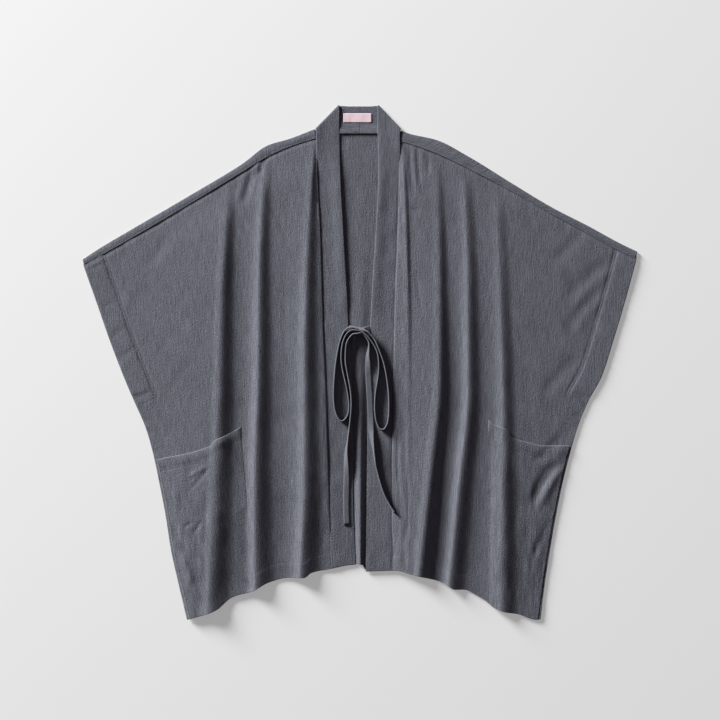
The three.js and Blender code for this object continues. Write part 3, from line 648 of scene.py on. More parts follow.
def panel_guides(panel, first, rise, fall, between, last):
    """Guide lines down a panel, each with the places of the columns from it to the next."""
    guides = [(panel.left, first)]
    final = len(panel.folds) - 1
    for k in range(len(panel.folds)):
        guides += fold_guides(panel, k, rise, fall, last if k == final else between)
    return guides + [(panel.right, None)]


def across_at(guides, t):
    """x of every column at t, where t has a value for each column. Each guide has its x at t,
    and the places of the columns from it to the next guide."""
    columns = []
    done = 0
    for k, (guide, spread) in enumerate(guides[:-1]):
        shares, offsets = spread
        count = len(shares) - 1 if k < len(guides) - 2 else len(shares)
        part = t[:, done:done + count]
        start, end = guide(part), guides[k + 1][0](part)
        reach = np.abs(offsets).max()
        squeeze = np.minimum(1, SQUEEZE * (end - start) / reach) if reach > 0 else 1
        columns.append(mix(start, end, shares[:count]) + offsets[:count] * squeeze)
        done += count
    return np.concatenate(columns, axis=1)


def column_count(guides):
    return sum(len(spread[0]) - 1 for _, spread in guides[:-1]) + 1


def grid_places(panel, guides, rows, from_t=None):
    """x and t of a panel's grid. from_t gives the t at which the first row lies at each x."""
    shares, offsets = (part[:, None] for part in rows)
    t = np.repeat(shares, column_count(guides), axis=1)
    for _ in range(PLACE_STEPS):
        x = across_at(guides, t)
        start = from_t(x) if from_t else 0.0
        t = mix(start, 1, shares) + offsets / panel.length_at(x, t)
    return across_at(guides, t), t


# ------------------------------------------------------------------ materials

WEAVE_SIZES = {"Slub Width": 0.0014, "Slub Length": 0.030, "Thread Size": 0.0016,
               "Crinkle Width": 0.0030, "Crinkle Length": 0.0055}
NOISE_ROUGHNESS = 0.55
DETAIL = dict(slub=2.0, thread=1.0, crinkle=3.0)
# What slubs, threads and crinkles add to the shade and to the height of the weave
SHADE = dict(slub=0.50, thread=0.35, crinkle=0.15)
SHADE_RANGE = (0.38, 0.62)
HEIGHT = dict(slub=0.60, thread=0.45, crinkle=1.9)
CLOTH_SHEEN = {"Roughness": 0.92, "Specular IOR Level": 0.18, "Sheen Weight": 0.10,
               "Sheen Roughness": 0.5}
THREAD_SHEEN = {"Roughness": 0.75, "Specular IOR Level": 0.25}
WORN = 0.05  # how much a worn edge pales
WORN_COLOUR = (0.50, 0.50, 0.52)

# Cloths: their dark and light threads, and the depth of their weave
SLATE = dict(dark=(0.079, 0.083, 0.099), light=(0.152, 0.160, 0.188), relief=0.0008)
TIE_SLATE = dict(dark=(0.088, 0.091, 0.107), light=(0.128, 0.133, 0.155), relief=0.0004)
TAPE = dict(dark=(0.72, 0.55, 0.60), light=(0.80, 0.64, 0.68), relief=0.0001)
SLATE_THREAD = (0.085, 0.088, 0.103)
TAPE_THREAD = (0.62, 0.48, 0.52)


def new_material(name):
    material = bpy.data.materials.new(name)
    material.use_nodes = True
    tree = material.node_tree
    return material, tree, tree.nodes["Principled BSDF"]


def add_node(tree, kind, settings=None, **inputs):
    """A shader node with its settings, and its inputs given as values or as sockets."""
    made = tree.nodes.new(kind)
    for key, value in (settings or {}).items():
        setattr(made, key, value)
    for key, value in inputs.items():
        socket = made.inputs[int(key[1:])] if key[0] == "i" and key[1:].isdigit() else None
        socket = socket or made.inputs[key.replace("_", " ")]
        if isinstance(value, bpy.types.NodeSocket):
            tree.links.new(value, socket)
        else:
            socket.default_value = value
    return made


def set_values(shader, values):
    for key, value in values.items():
        shader.inputs[key].default_value = value


def maths(tree, operation, *values):
    made = add_node(tree, "ShaderNodeMath", {"operation": operation},
                    **{f"i{n}": value for n, value in enumerate(values)})
    return made.outputs[0]


def stretched_noise(tree, u, v, width, length, detail):
    """Noise whose patches are width wide and length long."""
    place = add_node(tree, "ShaderNodeCombineXYZ", X=maths(tree, "DIVIDE", u, width),
                     Y=maths(tree, "DIVIDE", v, length))
    made = add_node(tree, "ShaderNodeTexNoise", {"noise_dimensions": "2D"},
                    Vector=place.outputs[0], Scale=1.0, Detail=detail,
                    Roughness=NOISE_ROUGHNESS)
    return made.outputs[0]


def weave_shade(tree, slub, thread, crinkle):
    shade = maths(tree, "MULTIPLY_ADD", slub, SHADE["slub"],
                  maths(tree, "MULTIPLY", thread, SHADE["thread"]))
    shade = maths(tree, "MULTIPLY_ADD", crinkle, SHADE["crinkle"], shade)
    contrast = add_node(tree, "ShaderNodeMapRange", Value=shade)
    contrast.inputs["From Min"].default_value = SHADE_RANGE[0]
    contrast.inputs["From Max"].default_value = SHADE_RANGE[1]
    return contrast.outputs[0]


def weave_height(tree, slub, thread, crinkle):
    creased = maths(tree, "ABSOLUTE", maths(tree, "SUBTRACT", crinkle, 0.5))
    height = maths(tree, "MULTIPLY_ADD", slub, HEIGHT["slub"],
                   maths(tree, "MULTIPLY", creased, HEIGHT["crinkle"]))
    return maths(tree, "MULTIPLY_ADD", thread, HEIGHT["thread"], height)


def slub_weave_group():
    """Plain weave of uneven threads: upright slubs, fine threads and small crinkles, laid by
    each point's place on the flat cloth."""
    group = bpy.data.node_groups.new("slub_weave", "ShaderNodeTree")
    face = group.interface
    face.new_socket("Place", in_out="INPUT", socket_type="NodeSocketVector")
    for name, value in WEAVE_SIZES.items():
        face.new_socket(name, in_out="INPUT", socket_type="NodeSocketFloat").default_value = value
    face.new_socket("Shade", in_out="OUTPUT", socket_type="NodeSocketFloat")
    face.new_socket("Height", in_out="OUTPUT", socket_type="NodeSocketFloat")
    given = group.nodes.new("NodeGroupInput").outputs
    place = add_node(group, "ShaderNodeSeparateXYZ", Vector=given["Place"])
    u, v = place.outputs[0], place.outputs[1]
    size = given["Thread Size"]
    slub = stretched_noise(group, u, v, given["Slub Width"], given["Slub Length"],
                           DETAIL["slub"])
    thread = stretched_noise(group, u, v, size, size, DETAIL["thread"])
    crinkle = stretched_noise(group, u, v, given["Crinkle Width"], given["Crinkle Length"],
                              DETAIL["crinkle"])
    out = group.nodes.new("NodeGroupOutput")
    group.links.new(weave_shade(group, slub, thread, crinkle), out.inputs["Shade"])
    group.links.new(weave_height(group, slub, thread, crinkle), out.inputs["Height"])
    return group


def cloth_material(name, weave, dark, light, relief):
    """Woven cloth: its threads' dark and light colours, paler where its edges are worn."""
    material, tree, shader = new_material(name)
    place = add_node(tree, "ShaderNodeAttribute", {"attribute_name": CLOTH_LAYER})
    place = place.outputs["Vector"]
    woven = tree.nodes.new("ShaderNodeGroup")
    woven.node_tree = weave
    tree.links.new(place, woven.inputs["Place"])
    for key, value in WEAVE_SIZES.items():
        woven.inputs[key].default_value = value
    colour = add_node(tree, "ShaderNodeMix", {"data_type": "RGBA"}, i0=woven.outputs["Shade"],
                      i6=(*dark, 1), i7=(*light, 1))
    wear = add_node(tree, "ShaderNodeSeparateXYZ", Vector=place).outputs[2]
    faded = add_node(tree, "ShaderNodeMix", {"data_type": "RGBA", "blend_type": "SCREEN"},
                     i0=maths(tree, "MULTIPLY", wear, WORN), i6=colour.outputs[2],
                     i7=(*WORN_COLOUR, 1))
    tree.links.new(faded.outputs[2], shader.inputs["Base Color"])
    bump = add_node(tree, "ShaderNodeBump", Height=woven.outputs["Height"], Strength=1.0,
                    Distance=relief)
    tree.links.new(bump.outputs[0], shader.inputs["Normal"])
    set_values(shader, CLOTH_SHEEN)
    return material


def thread_material(name, colour):
    material, _, shader = new_material(name)
    set_values(shader, {"Base Color": (*colour, 1), **THREAD_SHEEN})
    return material


# ------------------------------------------------------------------ small forms of the cloth

FRONT_LOWEST = 0.0019
HEM_DEPTH = 0.0275  # from the bottom edge up to its line of stitches
SLEEVE_HEM = 0.034  # from a sleeve's edge in to the first of its two lines of stitches
TWIN_GAP = 0.0042
HEM_STEP = 0.0005  # how far a sleeve's turned hem stands above the cloth beside it
HEM_DITCH = 0.0007  # how deep its lines of stitches are drawn in, and how wide
DITCH_WIDTH = 0.0010
SEAM_DITCH = 0.0003
SEAM_REACH = 0.003
TOP_DIP = 0.0012  # how far a front's top edge dips under the turned-over back
TOP_REACH = 0.009
BAND_TILT = 0.0012  # how far the band's sewn edge stands above its free edge, lower down
TILT_TOP = 0.08  # height below which it does, and over which it grows
TILT_FADE = 0.15
TILT_REACH = 0.025  # how far into the front it reaches
SIDE_BULK = 0.002  # how much the seam and the pocket's layers lift the side below the sleeve
BULK_TOP = -0.12
BULK_FADE = 0.16
BULK_REACH = 1.2  # as a share of the way to the first fold
SLEEVE_LOFT = 0.002  # how far a sleeve rises from its edge to the first fold
LOFT_TOP = 0.08  # over which it grows down from the shoulder, and up from the hem
LOFT_HEM = 0.20
LOFT_MOST = 1.4
CRUMPLE_REACH = 0.045  # from the band, and the height below which it is crumpled
CRUMPLE_TOP = 0.02
CRUMPLE_FADE = 0.15
CORNER_REACH = 0.09  # from the side seam, and the height below which the corner is crumpled
CORNER_TOP = -0.18
CORNER_FADE = 0.1
PUCKER_REACH = 0.014
PUCKER_END = 0.01
HEM_SOFT = 0.003  # over which a turned sleeve hem steps up, from a little past its stitches
HEM_PAST = 0.002
SLEEVE_FADE = 0.012  # over which a sleeve's hem ends
CALM = 0.03  # over which ripples grow from a side and from the hem, and from the band
CALM_BAND = 0.01
CALM_PAST = 0.01  # from past the hem
CALM_BACK = 0.02
TUCK = 0.005  # how far a front runs on under the shoulder seam
BAND_TUCK = 0.0015  # and under the neckband

# Waves of the cloth: height, width and length
BROAD_RIPPLES = (0.0007, 0.060, 0.110)
NARROW_RIPPLES = (0.00026, 0.019, 0.052)
SLANTED_RIPPLES = (0.00022, 0.016, 0.045)
BAND_CRUMPLES = (0.0006, 0.0075, 0.028)
CORNER_CRUMPLES = (0.0005, 0.0075, 0.028)
POCKET_CRUMPLES = (0.0004, 0.0075, 0.028)
SLEEVE_PUCKERS = (0.0004, 0.007, 0.022)
SEAM_PUCKERS = (0.0005, 0.02, 0.009)
POCKET_PUCKERS = (0.0003, 0.004, 0.008)
SHOULDER_WAVES = (0.0005, 0.016, 0.010)
BAND_WAVES = (0.0007, 0.030, 0.060)
BAND_RIPPLES = (0.00035, 0.014, 0.022)
BAND_UNEVEN = (0.5, 0.07, 0.07)
NECK_WAVES = (0.0004, 0.03, 0.012)
LABEL_WAVES = (0.0002, 0.012, 0.02)
RIPPLE_SLANT = 0.6
PUCKER_SLANT = 0.7

# Soft creases: from x, y to x, y, half width, height (below 0 a trough), bow sideways
RIGHT_CREASES = (
    (-0.192, 0.345, -0.209, 0.285, 0.007, -0.0018, 0.001),
    (-0.171, 0.380, -0.180, 0.335, 0.005, -0.0016, 0.0),
    (-0.204, 0.340, -0.218, 0.290, 0.006, 0.0010, 0.001),
    (-0.179, 0.378, -0.188, 0.340, 0.005, 0.0010, 0.0),
    (-0.133, 0.180, -0.133, 0.007, 0.0025, -0.0009, 0.001),
    (-0.290, 0.150, -0.335, 0.085, 0.010, -0.0004, 0.004),
    (-0.330, 0.060, -0.370, 0.005, 0.009, -0.0004, -0.003),
    (-0.300, 0.000, -0.350, -0.065, 0.008, -0.0004, 0.003),
    (-0.400, 0.150, -0.430, 0.060, 0.010, 0.0004, 0.004),
    (-0.340, 0.235, -0.385, 0.170, 0.009, -0.0008, -0.003),
    (-0.485, 0.167, -0.460, 0.177, 0.003, -0.0008, 0.0),
    (-0.459, 0.100, -0.439, 0.108, 0.003, -0.0008, 0.0),
    (-0.445, 0.042, -0.423, 0.065, 0.003, -0.0009, 0.0),
    (-0.427, 0.0075, -0.405, 0.027, 0.003, -0.0009, 0.0),
    (-0.406, -0.063, -0.376, -0.054, 0.0035, -0.0012, 0.0),
    (-0.202, -0.389, -0.194, -0.412, 0.004, -0.0018, 0.0),
    (-0.330, -0.300, -0.290, -0.360, 0.006, -0.0012, 0.004),
    (-0.318, -0.296, -0.280, -0.352, 0.005, 0.0010, 0.004),
    (-0.325, -0.380, -0.285, -0.430, 0.005, 0.0009, -0.003),
)
LEFT_CREASES = (
    (0.445, 0.180, 0.373, 0.112, 0.010, -0.0014, 0.004),
    (0.457, 0.170, 0.385, 0.100, 0.009, 0.0008, 0.004),
    (0.430, 0.128, 0.373, 0.059, 0.008, -0.0012, 0.003),
    (0.444, 0.122, 0.386, 0.050, 0.008, 0.0007, 0.003),
    (0.378, -0.117, 0.310, -0.180, 0.008, -0.0020, -0.004),
    (0.355, -0.180, 0.310, -0.256, 0.008, -0.0022, 0.004),
    (0.366, -0.188, 0.322, -0.262, 0.007, 0.0012, 0.004),
    (0.395, 0.010, 0.330, -0.060, 0.010, -0.0014, 0.005),
    (0.400, 0.240, 0.345, 0.180, 0.009, -0.0012, -0.004),
    (0.408, -0.062, 0.384, -0.058, 0.0035, -0.0012, 0.0),
    (0.399, -0.095, 0.384, -0.100, 0.003, -0.0010, 0.0),
    (0.094, 0.278, 0.106, 0.268, 0.004, -0.0014, 0.0),
    (0.090, 0.388, 0.096, 0.300, 0.0032, -0.0018, 0.001),
    (0.101, 0.392, 0.106, 0.318, 0.0030, -0.0016, 0.0),
    (0.096, 0.390, 0.101, 0.310, 0.0028, 0.0012, 0.001),
    (0.121, 0.384, 0.124, 0.340, 0.0035, -0.0012, 0.0),
    (0.100, 0.159, 0.112, 0.083, 0.003, -0.0010, 0.001),
    (0.068, -0.120, 0.070, -0.240, 0.0035, -0.0009, 0.002),
    (0.079, -0.105, 0.077, -0.215, 0.0030, -0.0008, -0.002),
    (0.073, -0.215, 0.068, -0.330, 0.0035, -0.0008, 0.002),
    (0.084, -0.190, 0.083, -0.320, 0.0030, -0.0008, -0.002),
    (0.078, -0.300, 0.080, -0.372, 0.0035, -0.0010, 0.001),
)
RIGHT_POCKET_CREASES = (
    (-0.306, -0.232, -0.272, -0.191, 0.003, -0.0010, 0.0),
    (-0.309, -0.207, -0.276, -0.187, 0.0035, 0.0010, 0.0),
    (-0.316, -0.297, -0.302, -0.288, 0.003, -0.0010, 0.0),
    (-0.299, -0.308, -0.285, -0.285, 0.003, -0.0010, 0.0),
    (-0.335, -0.230, -0.318, -0.262, 0.0045, 0.0010, 0.002),
    (-0.345, -0.270, -0.322, -0.320, 0.0045, -0.0012, 0.003),
    (-0.325, -0.345, -0.300, -0.395, 0.005, 0.0012, -0.003),
)
LEFT_POCKET_CREASES = (
    (0.220, -0.101, 0.238, -0.118, 0.004, 0.0016, 0.001),
    (0.226, -0.110, 0.243, -0.128, 0.003, -0.0014, 0.0),
    (0.350, -0.185, 0.308, -0.258, 0.008, -0.0020, 0.004),
    (0.362, -0.190, 0.322, -0.262, 0.007, 0.0012, 0.004),
    (0.345, -0.290, 0.312, -0.350, 0.006, -0.0012, 0.003),
)
BACK_CREASES = (
    (-0.240, 0.280, -0.150, 0.120, 0.010, 0.0012, 0.005),
    (0.260, 0.250, 0.170, 0.090, 0.010, 0.0012, -0.005),
    (-0.420, 0.150, -0.340, 0.020, 0.009, 0.0012, 0.004),
    (0.420, 0.160, 0.350, 0.040, 0.009, 0.0012, -0.004),
)

CREASE_OVER = 0.12  # how far a crease runs past its ends, and fades, as shares of its length
CREASE_FADE = 0.35


def creases(x, y, rows):
    """Height of soft creases that fade out at their ends."""
    total = np.zeros_like(x)
    for x0, y0, x1, y1, width, height, bow in rows:
        dx, dy = x1 - x0, y1 - y0
        length = math.hypot(dx, dy)
        along = ((x - x0) * dx + (y - y0) * dy) / length**2
        aside = ((x - x0) * dy - (y - y0) * dx) / length
        aside = aside - bow * 4 * along * (1 - along)
        fade = past(along + CREASE_OVER, CREASE_FADE)
        fade = fade * past(1 + CREASE_OVER - along, CREASE_FADE)
        total += height * bell(aside, width) * fade
    return total


def slanted(x, y, slant):
    return x + slant * y, y - slant * x


def ripples(x, y, seed):
    """The uneven lie of washed cloth."""
    return (waves(x, y, BROAD_RIPPLES, seed) + waves(x, y, NARROW_RIPPLES, seed + 1)
            + waves(*slanted(x, y, RIPPLE_SLANT), SLANTED_RIPPLES, seed + 2))


def band_tilt(y):
    """How far the band's sewn edge and the front beside it stand up at y."""
    return BAND_TILT * past(TILT_TOP - y, TILT_FADE)


def sleeve_form(side, across, y, from_top, from_hem):
    """The sleeve's loft, and the bulk of the right side where its seam and pocket lie."""
    loft = SLEEVE_LOFT * across * past(from_top, LOFT_TOP) * past(from_hem, LOFT_HEM)
    bulk = SIDE_BULK * ease(BULK_REACH - across) * past(BULK_TOP - y, BULK_FADE) * (side < 0)
    return loft + bulk


def edge_form(x, y, from_side, seed):
    """The sleeve's turned hem with its two lines of stitches, and the side seam's puckers."""
    hem = HEM_STEP * past(SLEEVE_HEM + HEM_PAST - from_side, HEM_SOFT)
    hem += (waves(*slanted(x, y, PUCKER_SLANT), SLEEVE_PUCKERS, seed + 8)
            * past(SLEEVE_HEM - from_side, PUCKER_END))
    for line in (SLEEVE_HEM, SLEEVE_HEM + TWIN_GAP):
        hem -= HEM_DITCH * bell(from_side - line, DITCH_WIDTH)
    seam = waves(x, y, SEAM_PUCKERS, seed + 7) * near(from_side, PUCKER_REACH)
    return mix(seam, hem, past(y - SLEEVE_END, SLEEVE_FADE))


def front_crumples(x, y, from_side, from_band, seed):
    """Crumples beside the neckband's lower half and in the lower corner at the side."""
    beside_band = near(from_band, CRUMPLE_REACH) * past(CRUMPLE_TOP - y, CRUMPLE_FADE)
    corner = past(CORNER_TOP - y, CORNER_FADE) * (from_side < CORNER_REACH)
    return (waves(x, y, BAND_CRUMPLES, seed + 5) * beside_band
            + waves(x, y, CORNER_CRUMPLES, seed + 6) * corner)


def front_relief(side, rows, seed):
    """The small forms of a front, whose side edge is its left one (-1) or its right one (1)."""

    def relief(panel, x, y, t):
        side_edge, seam = panel.left(t), panel.right(t)
        if side > 0:
            side_edge, seam = seam, side_edge
        from_side, from_band = side * (side_edge - x), side * (x - seam)
        length = panel.length_at(x, t)
        from_top, from_hem = t * length, (1 - t) * length
        outer = panel.span(0, t)[0] if side < 0 else panel.span(len(panel.folds) - 1, t)[2]
        across = np.clip(from_side / np.abs(outer - side_edge), 0, LOFT_MOST)
        inside = past(from_side, CALM) * past(from_hem + CALM_PAST, CALM)
        inside = inside * past(from_band, CALM_BAND)
        loose = ripples(x, y, seed) + front_crumples(x, y, from_side, from_band, seed)
        z = sleeve_form(side, across, y, from_top, from_hem) + creases(x, y, rows)
        z += loose * inside + edge_form(x, y, from_side, seed)
        z += band_tilt(y) * near(from_band, TILT_REACH)
        z -= SEAM_DITCH * near(from_band, SEAM_REACH)
        return z - TOP_DIP * near(from_top, TOP_REACH)

    return relief


# ------------------------------------------------------------------ stitches

STITCH = 0.0026
STITCH_GAP = 0.0009
STITCH_WIDTH = 0.0005
STITCH_STEP = 0.0005  # along the line, to find a stitch's direction
STITCH_LIFT = 0.0001  # how far the middle of a stitch lies above the cloth
STITCH_RINGS = (-0.30, 0.30)  # where a stitch is at its full width, as shares of its length
STITCH_SINK = 0.4  # how deep its ends lie, as a share of its width


def stitch_row(points, normals):
    """Middles, directions and normals of stitches spaced along a line."""
    run = np.concatenate([[0], np.cumsum(np.linalg.norm(np.diff(points, axis=0), axis=1))])
    count = max(int(run[-1] / (STITCH + STITCH_GAP)), 1)
    at = (np.arange(count) + 0.5) * run[-1] / count

    def along(values, where):
        return np.stack([np.interp(where, run, values[:, k]) for k in range(3)], axis=1)

    ahead, behind = along(points, at + STITCH_STEP), along(points, at - STITCH_STEP)
    return along(points, at), unit(ahead - behind), unit(along(normals, at))


def stitch_points(middle, ahead, outward, aside):
    """A slim lozenge of thread: a tip, two rings of four points, and a tip."""
    sunk = outward * STITCH_WIDTH * STITCH_SINK
    points = [middle - ahead * STITCH / 2 - sunk]
    for share in STITCH_RINGS:
        for way in (aside, outward, -aside, -outward):
            points.append(middle + ahead * STITCH * share + way * STITCH_WIDTH / 2)
    points.append(middle + ahead * STITCH / 2 - sunk)
    return points


def stitch_faces(first):
    faces = []
    for s in range(4):
        n = (s + 1) % 4
        faces.append((first, first + 1 + n, first + 1 + s))
        faces.append((first + 1 + s, first + 1 + n, first + 5 + n, first + 5 + s))
        faces.append((first + 5 + s, first + 5 + n, first + 9))
    return faces


def make_stitches(name, lines, material):
    """Rows of stitches along lines on the cloth, whose ends sink into it."""
    points, faces = [], []
    for line, normals in lines:
        middles, ahead, outward = stitch_row(line, normals)
        for stitch in zip(middles, ahead, outward, np.cross(ahead, outward)):
            faces += stitch_faces(len(points))
            points += stitch_points(*stitch)
    made = make_object(name, np.array(points), faces, material)
    return finish_piece(made)


# ------------------------------------------------------------------ fronts and pockets

EDGE_NEAR = (0, 0.001, 0.0028, 0.006, 0.012, 0.021, 0.030, 0.0328, 0.0340, 0.0352, 0.0370, 0.0382,
             0.0394, 0.042)
BAND_NEAR = (0, 0.0015, 0.004)
HEM_NEAR = (0, 0.0008, 0.0024, 0.006, 0.013, 0.021, 0.0255, 0.0267, 0.0275, 0.0283, 0.0295, 0.032)
TOP_NEAR = (0, 0.0015, 0.0035, 0.006, 0.0085, 0.011)
FRONT_ROWS = 175
SIDE_COLUMNS = 34  # from the side's edge to the fold next to it
BAND_COLUMNS = {-1: 7, 1: 4}  # from the band's edge to the fold next to it
RISE_COLUMNS = 7
FALL_COLUMNS = 8
BETWEEN_COLUMNS = 9
STITCH_MARGIN = 0.003  # from the ends of the bottom hem's line to the front's edges
HEM_T = 0.97  # t near that line
SLEEVE_LINE_FROM = 0.004  # t at which a sleeve's lines start
BAR_FROM = 0.002  # from a sleeve's edge to its end bar
SLEEVE_LINE_POINTS = 90
HEM_LINE_POINTS = 220
BAR_POINTS = 12
WEAR_WIDTH = 0.0022  # of the worn strip along an edge


def turned_hem(depth, distance):
    """1 within a turned hem, fading to 0 where it ends at a depth from its edge."""
    return past(depth - distance, HEM_FADE)


def front_level(t):
    """A front comes down from the shoulder seam and then lies on the back."""
    return mix(SHOULDER_LEVEL, FRONT_LEVEL, ease(t / SETTLE))


def make_front_panel(side, shoulder, band, folds, rows, seed):
    side_edge = curve_of(SIDES, 0, 1 if side < 0 else 2)
    seam = curve_of(band, 0, 1)
    shoulder_seam = curve_of(shoulder, 0, 2)

    def band_edge(y):
        return seam(y) - side * SEAM_GAP

    sides = (side_edge, band_edge) if side < 0 else (band_edge, side_edge)
    return Panel(sides, shoulder_seam, hem_at, folds, front_level,
                 front_relief(side, rows, seed), FRONT_LOWEST)


def front_guides(panel, side):
    if side < 0:
        first = places(EDGE_NEAR, NONE_NEAR, SIDE_COLUMNS)
        last = places(NONE_NEAR, BAND_NEAR, BAND_COLUMNS[side])
    else:
        first = places(BAND_NEAR, NONE_NEAR, BAND_COLUMNS[side])
        last = places(NONE_NEAR, EDGE_NEAR, SIDE_COLUMNS)
    return panel_guides(panel, first, even(RISE_COLUMNS), even(FALL_COLUMNS),
                        even(BETWEEN_COLUMNS), last)


def make_front(name, panel, side, material):
    x, t = grid_places(panel, front_guides(panel, side), places(TOP_NEAR, HEM_NEAR, FRONT_ROWS))
    grid = panel.surface(x, t)
    from_hem = (1 - t) * panel.length_at(x, t)
    from_side = side * ((panel.left(t) if side < 0 else panel.right(t)) - x)
    sleeve = past(grid[..., 1] - SLEEVE_END, 0.01)
    turned = np.maximum(turned_hem(HEM_DEPTH, from_hem),
                        turned_hem(SLEEVE_HEM, from_side) * sleeve)
    # the edges under the shoulder seam and under the neckband run on a little further
    band_column = -1 if side < 0 else 0
    grid[0, :, 1] += TUCK
    grid[:, band_column, 0] -= side * BAND_TUCK
    worn = np.maximum(bell(from_side, WEAR_WIDTH), bell(from_hem, WEAR_WIDTH))
    made = shell(name, grid, CLOTH_HALF + HEM_EXTRA * turned, material, edge=worn,
                 width_from=band_column)
    return finish_piece(made, [name.replace("_cloth", "")])


def front_stitches(name, panel, side, material):
    """The double line along the sleeve's hem, the bottom hem's line and the sleeve's end bar."""
    edge = panel.left if side < 0 else panel.right
    depths = (SLEEVE_HEM, SLEEVE_HEM + TWIN_GAP)
    last = float(panel.fraction_at(np.array(edge(0.5)), np.array(SLEEVE_END)))
    down = np.linspace(SLEEVE_LINE_FROM, last, SLEEVE_LINE_POINTS)
    runs = [(edge(down) - side * depth, down) for depth in depths]
    x = np.linspace(float(panel.left(HEM_T)) + STITCH_MARGIN,
                    float(panel.right(HEM_T)) - STITCH_MARGIN, HEM_LINE_POINTS)
    runs.append((x, 1 - HEM_DEPTH / panel.length_at(x, np.full_like(x, HEM_T))))
    bar = np.full(BAR_POINTS, last)
    runs.append((edge(bar) - side * np.linspace(BAR_FROM, depths[1], BAR_POINTS), bar))
    lines = [panel.on(x, t, CLOTH_HALF + STITCH_LIFT) for x, t in runs]
    make_stitches(name, lines, material)


POCKET_HEM = 0.021
POCKET_NEAR = (0, 0.0008, 0.0025, 0.007, 0.014, 0.0195, 0.0208, 0.0222, 0.025)
POCKET_EDGE_NEAR = (0, 0.0007, 0.002, 0.0035, 0.006)
POCKET_ROWS = 90
POCKET_SIDE_COLUMNS = 22
POCKET_RIPPLE = 1.2  # its ripples' height, as a share of the front's
SLACK_REACH = 0.02  # over which its cloth comes loose from an edge, and from the top
SLACK_TOP = 0.006
GAPE_REACH = 0.008
POCKET_PUCKER_REACH = 0.012
POCKET_DITCH_WIDTH = 0.0014
POCKET_WEAR = (0.002, 0.0016)  # widths of the worn strips at its top and along its edges
POCKET_STITCH_COLUMNS = (2, -3)
DOWN_COLUMN = 5  # along which the top hem's row of stitches is found
POCKET_SLACK = 0.0009  # how far a pocket stands off the front inside its edges
POCKET_GAPE = 0.0006  # and its top edge more
POCKET_LEVEL = 2 * CLOTH_HALF + 0.0002
POCKET_LEAST = 2.1 * CLOTH_HALF
POCKET_STEP = 0.0004  # how far its turned hem stands above the cloth below it
POCKET_SINK_FROM = 0.13  # how far down its inner edge starts to sink into the front
POCKET_EDGE_WIDTHS = (0.006, 0.018)  # over which it rises from that edge, proud and sunk


def pocket_edges(panel, side, pocket):
    """A pocket's top edge as t at x, and its outer and inner edges as x at t."""
    top = curve_of(pocket["top"], 0, 1)
    first_x, last_x = pocket["top"][0][0], pocket["top"][-1][0]
    offset = curve_through(POCKET_FRACTIONS, pocket["offset"])
    k = pocket["before"]

    def top_t(x):
        within = np.clip(x, first_x, last_x)
        return panel.fraction_at(within, top(within))

    def outer(t):
        return (panel.left(t) if side < 0 else panel.right(t)) - side * POCKET_SIDE_INSET

    def inner(t):
        start = panel.span(k, t)[0]
        previous = panel.span(k - 1, t)[2]
        return np.maximum(mix(previous, start, POCKET_FOLD_CLEAR),
                          start - offset(np.maximum(t, POCKET_FRACTIONS[0])))

    return top_t, outer, inner


def pocket_guides(panel, side, k, outer, inner):
    """Guides across a pocket, which lies over the first fold (right) or over fold k (left)."""
    flank = even(6)
    if side < 0:
        last = places(NONE_NEAR, POCKET_EDGE_NEAR, 3)
        return [(outer, places(POCKET_EDGE_NEAR, NONE_NEAR, POCKET_SIDE_COLUMNS)),
                *fold_guides(panel, 0, flank, flank, last), (inner, None)]
    last = places(NONE_NEAR, POCKET_EDGE_NEAR, POCKET_SIDE_COLUMNS)
    return [(inner, even(4)), *fold_guides(panel, k, flank, flank, last), (outer, None)]


def pocket_form(x, y, down, from_edge, rows, seed):
    """How far the middle of a pocket's cloth lies above the middle of the front's."""
    uneven = POCKET_RIPPLE * ripples(x, y, seed) + waves(x, y, POCKET_CRUMPLES, seed + 3)
    loose = POCKET_SLACK + uneven
    reach = POCKET_LEVEL + creases(x, y, rows)
    reach += POCKET_STEP * turned_hem(POCKET_HEM, down)
    reach -= SEAM_DITCH * bell(down - POCKET_HEM, POCKET_DITCH_WIDTH)
    reach += loose * past(from_edge, SLACK_REACH) * past(down, SLACK_TOP)
    reach += POCKET_GAPE * near(down, GAPE_REACH) * past(from_edge, SLACK_REACH)
    return reach + waves(x, y, POCKET_PUCKERS, seed + 4) * near(from_edge, POCKET_PUCKER_REACH)


def sewn_down(reach, edge_lift, down, from_inner):
    """Brings the inner edge down: it lies proud at the top and sinks in further down. edge_lift
    gives its height at the top, just below it and lower down, as shares of CLOTH_HALF."""
    top, upper, lower = edge_lift
    lift = mix(mix(top, upper, past(down, 0.02)), lower, past(down - POCKET_SINK_FROM, 0.03))
    inward = past(from_inner, mix(*POCKET_EDGE_WIDTHS, ease(1 - lift)))
    return mix(lift * CLOTH_HALF, np.maximum(reach, POCKET_LEAST), inward)


